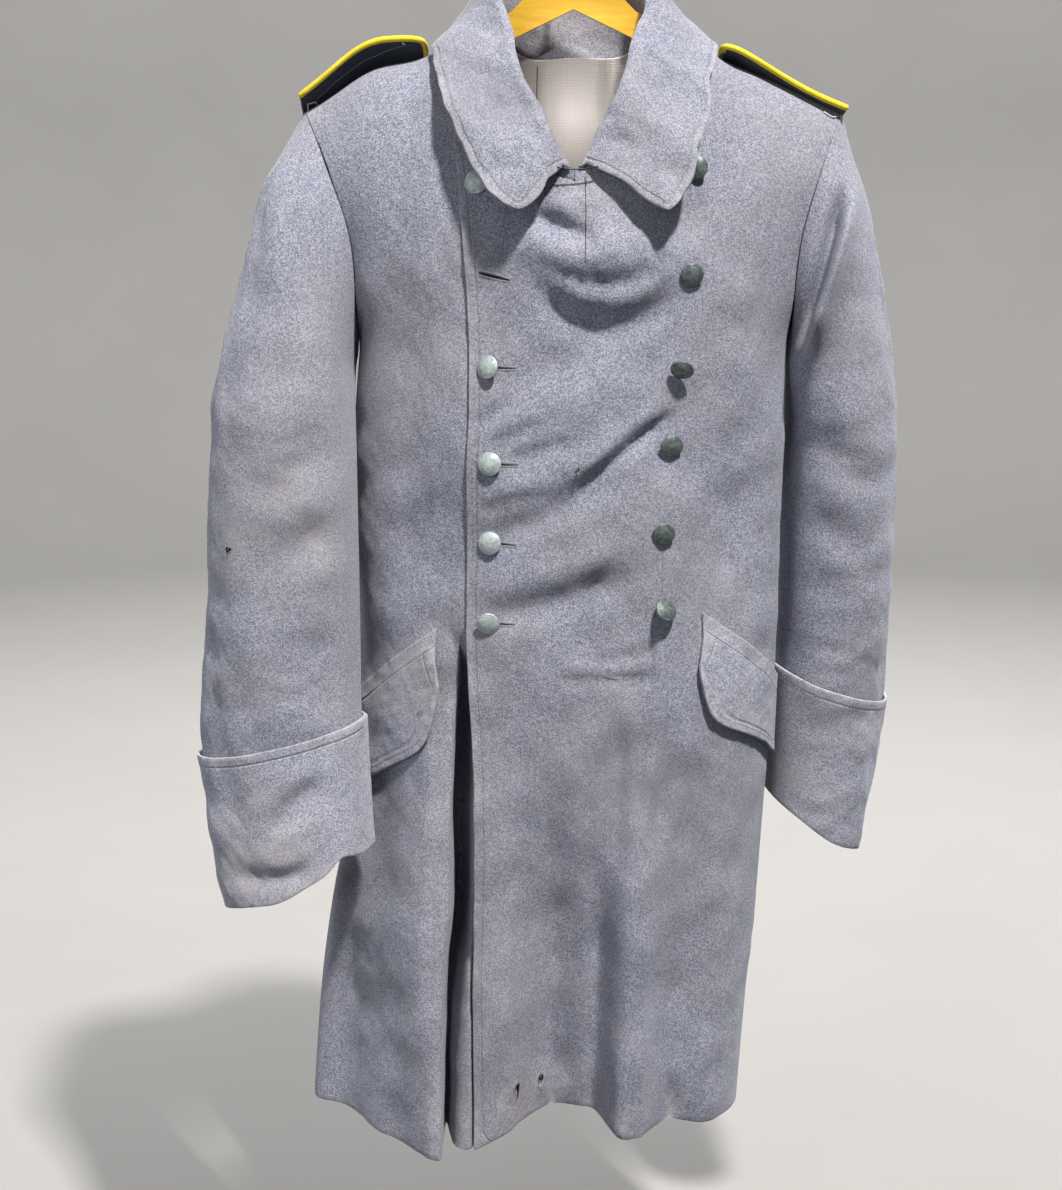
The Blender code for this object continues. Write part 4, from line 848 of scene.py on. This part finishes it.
def hanger_material():
    """Yellow painted wood, with faint grain under the paint and small scuffs."""
    g = Graph("hanger_paint")
    stretched = g.add("ShaderNodeMapping", {"Vector": g.place, "Scale": (18.0, 160.0, 160.0)})
    grain = g.noise(1.0, 4.0, 0.6, stretched.outputs["Vector"])
    tone = g.mix(g.greys(grain, (0.35, 0.0), (0.65, 1.0)), (0.66, 0.36, 0.024), (0.78, 0.47, 0.042))
    scuff = g.greys(g.noise(85.0, 5.0, 0.7), (0.66, 0.0), (0.74, 0.6))
    tone = g.mix(scuff, tone, (0.93, 0.74, 0.3))
    rough = g.greys(g.noise(60.0, 3.0), (0.3, 0.32), (0.7, 0.5))
    return g.finish(base_color=tone, roughness=rough, normal=g.bump(grain, 0.0003, 0.4), coat_weight=0.25,
                    coat_roughness=0.25)


def sampled(run, step):
    """A run's points and inward ways on a smooth curve, about a step apart."""
    count = len(run.points)
    spans = range(count if run.closed else count - 1)
    points, ways = [], []

    def at(values, i):
        return values[i % count] if run.closed else values[min(max(i, 0), count - 1)]

    for i in spans:
        steps = max(1, round(np.linalg.norm(at(run.points, i + 1) - at(run.points, i)) / step))
        for k in range(steps):
            t = k / steps
            a, b, c, d = (at(run.points, i + j) for j in (-1, 0, 1, 2))
            points.append(b + t * ((c - a) / 2 + t * (a - 2.5 * b + 2 * c - d / 2
                                                    + t * (1.5 * (b - c) + (d - a) / 2))))
            ways.append(at(run.inward, i) * (1 - t) + at(run.inward, i + 1) * t)
    if not run.closed:
        points.append(run.points[-1])
        ways.append(run.inward[-1])
    return np.array(points), np.array(ways)


def rim_distance(points, samples, ways, reach):
    """Distance of each point from the nearest rim sample along that sample's inward way."""
    tree = KDTree(len(samples))
    for i, sample in enumerate(samples):
        tree.insert(sample, i)
    tree.balance()
    distance = np.full(len(points), reach)
    for i, point in enumerate(points):
        _, nearest, away = tree.find(point)
        if away < reach:
            distance[i] = max(np.dot(point - samples[nearest], ways[nearest]), 0.0)
    return distance


def length_of(run):
    return np.linalg.norm(np.diff(run.points, axis=0), axis=1).sum()


def picked_run(row, runs):
    """The rim that a row of stitching or wear follows: the outermost one, or the upper one on a cuff."""
    if row.node.startswith("cuff"):
        middle = np.mean([run.points[:, 2].mean() for run in runs])
        runs = [run for run in runs if run.points[:, 2].mean() > middle]
    if row.node.startswith(("cuff", "collar")):
        return max(runs, key=length_of)
    longest = max(length_of(run) for run in runs)
    long_runs = [run for run in runs if length_of(run) > longest / 2]
    return min(long_runs, key=lambda run: run.points[:, 1].mean())


def lap_part(points, ways):
    """The lap's straight edge, between its corners."""
    return (points[:, 0] < LAP_EDGE_X) & (points[:, 2] < LAP_TOP_Z) & (points[:, 2] > LAP_LOW_Z)


def leaf_part(points, ways):
    """The edges of the collar's leaves."""
    across, deep = points[:, 0] / NECK_HALF_WIDTH, (points[:, 1] - NECK_Y) / NECK_HALF_DEPTH
    return np.hypot(across, deep) > NECK_OVAL


def below_part(points, ways):
    """A flap's edge without its top, where the way in is steeply down."""
    return ways[:, 2] > FLAP_TOP_WAY


def turned_part(points, ways):
    """A cuff's upper edge, where the way in is down."""
    return ways[:, 2] < CUFF_TOP_WAY


# Rows of stitching: the piece, how far from its edge, and the part of the edge
Stitching = namedtuple("Stitching", "node inset part")
STITCHING = (
    Stitching("left_front", 0.0075, lap_part),
    Stitching("collar", 0.006, leaf_part),
    Stitching("cuff_right", 0.009, turned_part),
    Stitching("cuff_left", 0.009, turned_part),
    Stitching("pocket_flap_right", 0.006, below_part),
    Stitching("pocket_flap_left", 0.006, below_part),
)


def free_edges(row, runs):
    """Rim samples of the edges that hang free, where the cloth wears: not the seams."""
    found, ways = [], []
    for run in runs:
        points, inward = sampled(run, RIM_STEP * 2)
        if row.node in ("left_front", "right_front", "back_left", "back_right"):
            free = points[:, 2] < HEM_EDGE_Z
            if row.node == "left_front":
                free |= lap_part(points, inward)
        elif row.node.startswith("sleeve") or row.slot != "wool":
            free = np.full(len(points), False)
        elif row.node == "collar":
            free = leaf_part(points, inward)
        elif row.node.startswith("pocket_flap"):
            free = below_part(points, inward)
        else:
            free = np.full(len(points), True)
        found.append(points[free])
        ways.append(inward[free])
    return np.concatenate(found), np.concatenate(ways)


def mark_edges(mesh, points, row, runs):
    """Stores, for the material, each point's distance from a free edge and from a row of stitching."""
    edge = np.full(len(points), EDGE_REACH)
    samples, ways = free_edges(row, runs)
    if len(samples):
        edge = rim_distance(points, samples, ways, EDGE_REACH)
    stitch = np.full(len(points), EDGE_REACH)
    for line in STITCHING:
        if line.node == row.node:
            run = picked_run(line, runs)
            samples, ways = sampled(run, RIM_STEP)
            kept = line.part(samples, ways)
            stitch = rim_distance(points, samples[kept], ways[kept], EDGE_REACH) - line.inset
    for name, values in (("edge", edge), ("stitch", stitch)):
        mesh.attributes.new(name, "FLOAT", "POINT").data.foreach_set("value", values.astype(np.float32))


def tree_of(mesh):
    return BVHTree.FromPolygons([v.co for v in mesh.vertices], [p.vertices for p in mesh.polygons])


def close_tube(shape, rings):
    """Faces round a row of rings and over both ends."""
    for low, high in zip(rings, rings[1:]):
        for k in range(len(low)):
            after = (k + 1) % len(low)
            shape.faces.new((low[k], low[after], high[after], high[k]))
    shape.faces.new(rings[0][::-1])
    shape.faces.new(rings[-1])


def spindle(shape, start, end, out, radius):
    """One stitch: a thread that dips into the cloth at both ends."""
    along = end - start
    side = along.cross(out).normalized()
    out = side.cross(along).normalized()
    rings = []
    for share, size, lift in STITCH_PROFILE:
        middle = start + along * share + out * radius * lift
        rings.append([shape.verts.new(middle + (side * math.cos(a) + out * math.sin(a)) * radius * size)
                      for a in (math.pi / 3 * k for k in range(6))])
    close_tube(shape, rings)


def finished(shape, name):
    """The mesh of a shape, with its faces turned outwards."""
    bmesh.ops.recalc_face_normals(shape, faces=shape.faces)
    mesh = bpy.data.meshes.new(name)
    shape.to_mesh(mesh)
    shape.free()
    return mesh


def build_stitching(cloth, runs, materials):
    """Rows of thread along the edges, each lying on its cloth."""
    fields = {row.node: FIELDS[row.field] for row in CLOTH}
    for line in STITCHING:
        samples, ways = sampled(picked_run(line, runs[line.node]), RIM_STEP)
        kept = line.part(samples, ways)
        path = samples + ways * line.inset
        path += fields[line.node](path)
        tree = tree_of(cloth[line.node].data)
        shape = bmesh.new()
        start = None
        for i in range(len(path) - 1):
            if not (kept[i] and kept[i + 1]):
                start = None
                continue
            here = Vector(path[i])
            if start is None:
                start = here
            run = (here - start).length
            if run >= STITCH_PITCH:
                ends = [tree.find_nearest(start.lerp(here, share)) for share in (0.0, STITCH_LENGTH / run)]
                if all(end[0] for end in ends):
                    spindle(shape, ends[0][0], ends[1][0], (ends[0][1] + ends[1][1]) / 2, THREAD_RADIUS)
                start = here
        piece(f"{line.node}_stitching", finished(shape, "stitching"), materials["thread"], "wool")


def button_mesh(number):
    """A low domed button with a pebbled face inside a smooth rim."""
    rows = []
    for ring in range(1, BUTTON_RINGS + 1):
        r = ring / BUTTON_RINGS
        z = BUTTON_HEIGHT * (DOME_EDGE + (1 - DOME_EDGE) * (1 - r ** DOME_POWER))
        if r > BUTTON_FACE:
            z += RIM_HEIGHT * math.sin(math.pi * min((r - BUTTON_FACE) / RIM_WIDTH, 1.0))
        rows.append((r * BUTTON_RADIUS, z, r < BUTTON_FACE))
    for r, height in BUTTON_SKIRT:
        rows.append((r * BUTTON_RADIUS, height * BUTTON_HEIGHT, False))
    shape = bmesh.new()

    def pebbled(x, y, z, face):
        if not face:
            return shape.verts.new((x, y, z))
        cell = noise.voronoi(Vector((x, y, number * 0.05)) / PEBBLE)[0][0]
        return shape.verts.new((x, y, z + PEBBLE_HEIGHT * max(0.0, 1 - (cell / PEBBLE_EDGE) ** 2)))

    rings = []
    for r, z, face in rows:
        turns = [2 * math.pi * k / BUTTON_SIDES for k in range(BUTTON_SIDES)]
        rings.append([pebbled(r * math.cos(a), r * math.sin(a), z, face) for a in turns])
    top, back = pebbled(0, 0, BUTTON_HEIGHT, True), shape.verts.new((0, 0, 0))
    for k in range(BUTTON_SIDES):
        after = (k + 1) % BUTTON_SIDES
        shape.faces.new((top, rings[0][k], rings[0][after]))
        shape.faces.new((back, rings[-1][after], rings[-1][k]))
        for low, high in zip(rings, rings[1:]):
            shape.faces.new((low[k], high[k], high[after], low[after]))
    return finished(shape, "button")


def placing_of(node):
    """Where a round node sits: its middle at the back and the way that its dome faces."""
    points = points_of(nodes[node].data)
    middle = (points.min(axis=0) + points.max(axis=0)) / 2
    away = np.linalg.svd(np.unique(points.round(6), axis=0) - middle)[2][2]
    if away[1] > 0:
        away = -away
    heights = (points - middle) @ away
    flat = points - np.outer(heights, away)
    middle = (flat.min(axis=0) + flat.max(axis=0)) / 2
    return Vector(middle + away * heights.min()), Vector(away)


def build_buttons(materials):
    """Pebbled buttons where the solids are, moved with the cloth under them."""
    places = {}
    for number, name in enumerate(sorted(n for n in nodes if n.startswith("button_"))):
        middle, away = placing_of(name)
        move = body_field(np.array([middle]))[0]
        seat = Matrix.Translation(middle + Vector(move)) @ away.to_track_quat("Z", "Y").to_matrix().to_4x4()
        mesh = button_mesh(number)
        mesh.transform(seat)
        piece(f"{name}_metal", mesh, materials[name[:name.rindex("_")]], "button", name)
        places[name] = middle
    return places


def on_front(tree, x, z):
    """The point of the fronts seen at a place from the front, and the way out of it."""
    hit = tree.ray_cast(Vector((x, -1.0, z)), Vector((0, 1, 0)))
    return hit[0], hit[1]


def along_front(tree, start, end, count):
    """Steps from one place on the fronts to another: the share of the way, the point and the way out."""
    (x0, z0), (x1, z1) = start, end
    for step in range(count + 1):
        share = step / count
        yield share, *on_front(tree, x0 + (x1 - x0) * share, z0 + (z1 - z0) * share)


def build_buttonholes(cloth, places, materials):
    """Worked buttonholes: a black sheet of painted shade in the slit, between two rows of thread."""
    tree = tree_of(cloth["left_front"].data)
    holes = []
    for name, at in places.items():
        if name.startswith("button_right"):
            start = (at.x + HOLE_START, at.z - HOLE_START * HOLE_SLOPE)
            holes.append((start, (at.x + HOLE_END, at.z + HOLE_END * HOLE_SLOPE), HOLE_OPEN))
    holes.append((*EMPTY_HOLE, EMPTY_HOLE_OPEN))
    slit_shade, threads = bmesh.new(), bmesh.new()
    for start, end, opened in holes:
        before = None
        count = round(math.dist(start, end) / HOLE_STITCH_STEP)
        for share, at, out in along_front(tree, start, end, count):
            across = Vector((0, 0, 1)) - out * out.z
            across.normalize()
            half = opened * (0.25 + 0.75 * math.sin(math.pi * min(share * 0.8 + 0.2, 1.0)))
            pair = [slit_shade.verts.new(at + across * half * sign + out * SLIT_LIFT) for sign in (-1, 1)]
            if before:
                slit_shade.faces.new((before[0], pair[0], pair[1], before[1]))
            before = pair
            for sign in (-1, 1):
                reach = across * sign
                spindle(threads, at + reach * (half + HOLE_STITCH_START),
                        at + reach * (half + HOLE_STITCH), out, HOLE_THREAD_RADIUS)
    piece("buttonhole_slit_shade", finished(slit_shade, "slit_shade"), materials["dark"], "wool")
    piece("buttonhole_stitching", finished(threads, "threads"), materials["thread"], "wool")


def strand(shape, points, radius):
    """A thin thread along a few points, closed at both ends."""
    rings = []
    for i, at in enumerate(points):
        run = points[min(i + 1, len(points) - 1)] - points[max(i - 1, 0)]
        side = run.cross(OFF_STRAND).normalized()
        other = side.cross(run).normalized()
        turns = [2 * math.pi * k / STRAND_SIDES for k in range(STRAND_SIDES)]
        rings.append([shape.verts.new(at + (side * math.cos(a) + other * math.sin(a)) * radius)
                      for a in turns])
    close_tube(shape, rings)


def fray_round(shape, tree, row, draw):
    """Short loose fibres round a hole, most of them hanging down."""
    for _ in range(row.strands):
        turn = draw.uniform(0, 2 * math.pi)
        x = row.x + math.cos(turn) * row.half_width * FRAY_WIDER
        z = row.z + math.sin(turn) * row.half_height * FRAY_TALLER
        at, out = on_front(tree, x, z)
        if at is None:
            continue
        way = Vector((-math.cos(turn), -0.25, -0.35 - 0.6 * math.sin(turn))) * draw.uniform(*FRAY_LENGTHS)
        root = at + out * FRAY_ROOT_LIFT
        points = [root + way * t + out * draw.uniform(*FRAY_LIFTS) * t + FRAY_SAG * t * t
                  for t in FRAY_SHARES]
        strand(shape, points, FRAY_RADIUS)


def hole_patch(shape, tree, row, lean):
    """The dark inside of a small hole, as an uneven patch of painted shade on the cloth."""
    rim = []
    for k in range(HOLE_SIDES):
        turn = 2 * math.pi * k / HOLE_SIDES
        size = 1 + 0.22 * math.sin(3 * turn + 0.7) + 0.1 * math.sin(5 * turn)
        across, up = row.half_width * size * math.cos(turn), row.half_height * size * math.sin(turn)
        at, out = on_front(tree, row.x + across * math.cos(lean) + up * math.sin(lean),
                           row.z + up * math.cos(lean) - across * math.sin(lean))
        rim.append(shape.verts.new(at + out * HOLE_RIM_LIFT))
    at, out = on_front(tree, row.x, row.z)
    middle = shape.verts.new(at + out * HOLE_MIDDLE_LIFT)
    for first, second in zip(rim, rim[1:] + rim[:1]):
        shape.faces.new((middle, first, second))


def build_wear(cloth, materials):
    """Frayed rips, and small holes whose dark insides are painted shade."""
    draw = np.random.default_rng(FRAY_SEED)
    front, sleeve = tree_of(cloth["left_front"].data), tree_of(cloth["sleeve_right_upper"].data)
    frays, dark = bmesh.new(), bmesh.new()
    for row in RIP_FRAYS + HOLES:
        fray_round(frays, front, row, draw)
    fray_round(frays, sleeve, SLEEVE_HOLE, draw)
    hole_patch(dark, front, HOLES[0], HOLE_LEAN)
    hole_patch(dark, sleeve, SLEEVE_HOLE, 0.0)
    piece("frayed_fibres", finished(frays, "frays"), materials["fray"], "wool")
    piece("hole_shade_patches", finished(dark, "holes"), materials["dark"], "wool")


def build_hook_stitches(materials):
    """Dark stitches that hold the hook and its eye on the collar's ends."""
    shape = bmesh.new()
    points = points_of(nodes["collar_hook"].data)
    out, half = Vector((0, -1, 0)), Vector((0, 0, HOOK_STITCH_HALF))
    for x in HOOK_ENDS:
        middle = Vector(points[np.abs(points[:, 0] - x).argmin()]) + out * HOOK_STITCH_LIFT
        spindle(shape, middle - half, middle + half, out, HOOK_STITCH_RADIUS)
    piece("hook_stitches", finished(shape, "hook_stitches"), materials["catch"], "wool")


def build_lines(cloth, materials):
    """Seams, loops and threads that are thin lines on the cloth, with painted shade in the lining's pleat
    and a painted glint on a strap.
    """
    for row in LINES:
        tree, shape, path = tree_of(cloth[row.node].data), bmesh.new(), []
        for start, end in zip(row.places, row.places[1:]):
            count = max(2, round(math.dist(start, end) / LINE_STEP))
            for _, at, out in along_front(tree, start, end, count):
                if at is not None and (not path or (at + out * row.lift - path[-1]).length > LINE_STEP / 4):
                    path.append(at + out * row.lift)
        if len(path) > 1:
            strand(shape, path, row.radius)
        piece(row.name, finished(shape, row.name), materials[row.look], "wool")


def build_piping(materials):
    """Round felt piping on the edges of the straps."""
    for side in ("right", "left"):
        mesh, _ = smooth_shell(f"strap_piping_{side}", PIPING_LEVELS)
        normals = np.empty(len(mesh.vertices) * 3)
        mesh.vertex_normals.foreach_get("vector", normals)
        points = points_of(mesh)
        set_points(mesh, points + normals.reshape(-1, 3) * PIPING_SWELL + strap_field(points, side))
        piece(f"strap_piping_{side}_felt", mesh, materials["piping"], "piping", f"strap_piping_{side}")


def build_cloth(materials):
    """All the cloth pieces, creased, and the runs of their rims."""
    made, all_runs = {}, {}
    for row in CLOTH:
        mesh, runs = smooth_shell(row.node, row.levels)
        points = points_of(mesh)
        mark_edges(mesh, points, row, runs)
        set_points(mesh, points + FIELDS[row.field](points))
        # Cuffs and pockets take the brighter wool, which is partly a painted highlight
        look = "turned_wool_worn_and_painted_lit" if row.node.startswith(("cuff", "pocket")) else row.slot
        made[row.node] = piece(f"{row.node}_cloth", mesh, materials[look], row.slot, row.node)
        all_runs[row.node] = runs
    return made, all_runs


def build_stage(materials):
    """Pale floor that curves up into a backdrop all round."""
    profile = [(0.0, FLOOR_Z), (FLOOR_RADIUS, FLOOR_Z)]
    for step in range(1, COVE_STEPS + 1):
        turn = math.pi / 2 * step / COVE_STEPS
        profile.append((FLOOR_RADIUS + COVE * math.sin(turn), FLOOR_Z + COVE * (1 - math.cos(turn))))
    profile.append((FLOOR_RADIUS + COVE, BACKDROP_TOP_Z))
    shape = bmesh.new()
    line = [shape.verts.new((r, 0, z)) for r, z in profile]
    edges = [shape.edges.new(pair) for pair in zip(line, line[1:])]
    bmesh.ops.spin(shape, geom=line + edges, cent=(0, 0, 0), axis=(0, 0, 1), angle=2 * math.pi,
                   steps=STAGE_SIDES, use_merge=True)
    bmesh.ops.remove_doubles(shape, verts=shape.verts, dist=1e-4)
    mesh = bpy.data.meshes.new("stage")
    shape.to_mesh(mesh)
    shape.free()
    mesh.shade_smooth()
    mesh.materials.append(materials["stage"])
    made = placed("stage", mesh)
    made.visible_diffuse = False


def build_lights():
    for row in (*LIGHTS, NECK_LIGHT):
        data = bpy.data.lights.new(row.name, "SPOT" if row is NECK_LIGHT else "AREA")
        data.energy, data.color = row.power, row.colour
        if row is NECK_LIGHT:
            data.spot_size, data.spot_blend, data.shadow_soft_size = NECK_CONE, NECK_BLEND, row.size
        else:
            data.size = row.size
        lamp = placed(row.name, data)
        lamp.location = row.place
        lamp.rotation_euler = (Vector(row.aim) - Vector(row.place)).to_track_quat("-Z", "Y").to_euler()
        lamp.visible_camera = False
    world = bpy.data.worlds.new("studio")
    world.use_nodes = True
    sky = world.node_tree.nodes["Background"]
    sky.inputs["Color"].default_value = (*WORLD_COLOUR, 1.0)
    sky.inputs["Strength"].default_value = WORLD_STRENGTH
    bpy.context.scene.world = world
    bpy.context.scene.view_settings.view_transform = "Standard"


def build_camera():
    data = bpy.data.cameras.new("camera")
    data.sensor_width = SENSOR
    data.lens = FOCAL_PIXELS / PHOTO_HEIGHT * SENSOR
    camera = placed("camera", data)
    camera.location = CAMERA_PLACE
    camera.rotation_euler = (CAMERA_PITCH, 0, 0)
    bpy.context.scene.camera = camera


def dress_kept_nodes(materials):
    """Better materials on the nodes that stay as they are."""
    for name, look in (("hanger", "hanger_board"), ("hanger_hook", "wire"), ("collar_hook", "catch")):
        nodes[name].data.materials.clear()
        nodes[name].data.materials.append(materials[look])


MATERIALS = {
    "wool": wool_material("wool", 0.32, 1.0),
    # Cuffs, welts and flaps: warmer from wear, and brighter by pale wear and a painted highlight
    "turned_wool_worn_and_painted_lit": wool_material("turned_wool_worn_and_painted_lit", 0.5, 1.22),
    "lining": lining_material(),
    "strap_cloth": felt_material("strap_felt", (0.012, 0.016, 0.03), (0.04, 0.048, 0.07), 0.15),
    "piping": felt_material("piping_felt", (0.55, 0.42, 0.012), (0.85, 0.7, 0.06), 0.1),
    # The two rows are the same metal: the paler row is a painted highlight and the darker row a painted
    # shade
    "button_right": button_material("painted_lit_button", (0.29, 0.34, 0.345), (0.5, 0.555, 0.56)),
    "button_left": button_material("painted_shaded_button", (0.058, 0.076, 0.076), (0.175, 0.212, 0.208)),
    "wire": wire_material("hook_wire", (0.32, 0.32, 0.31), (0.58, 0.57, 0.55), 1.0),
    "catch": wire_material("catch_wire", (0.012, 0.012, 0.014), (0.045, 0.042, 0.04), 0.0),
    "thread": thread_material("thread", (0.16, 0.16, 0.185), (0.33, 0.325, 0.345)),
    "worn_thread": thread_material("worn_thread", (0.1, 0.105, 0.13), (0.24, 0.24, 0.27)),
    "pale_thread": thread_material("pale_thread", (0.48, 0.42, 0.42), (0.74, 0.68, 0.68)),
    # Near-black: painted shade in the buttonhole slits and hole insides, and the dark of a seam line
    "dark": plain_material("painted_shade_and_seam_black", (0.008, 0.009, 0.013), (0.022, 0.022, 0.028), 900.0,
                           roughness=1.0, specular_ior_level=0.05),
    "fray": plain_material("frayed_fibre", (0.13, 0.09, 0.06), (0.44, 0.37, 0.31), 400.0,
                           roughness=0.9, sheen_weight=0.2),
    "stage": plain_material("pale_floor", (0.27, 0.265, 0.257), (0.3, 0.295, 0.287), 3.0, 4.0,
                            roughness=0.9),
    "hanger_board": hanger_material(),
}
cloth, rims = build_cloth(MATERIALS)
build_stitching(cloth, rims, MATERIALS)
button_places = build_buttons(MATERIALS)
build_buttonholes(cloth, button_places, MATERIALS)
build_wear(cloth, MATERIALS)
build_lines(cloth, MATERIALS)
build_hook_stitches(MATERIALS)
build_piping(MATERIALS)
dress_kept_nodes(MATERIALS)
build_stage(MATERIALS)
build_lights()
build_camera()
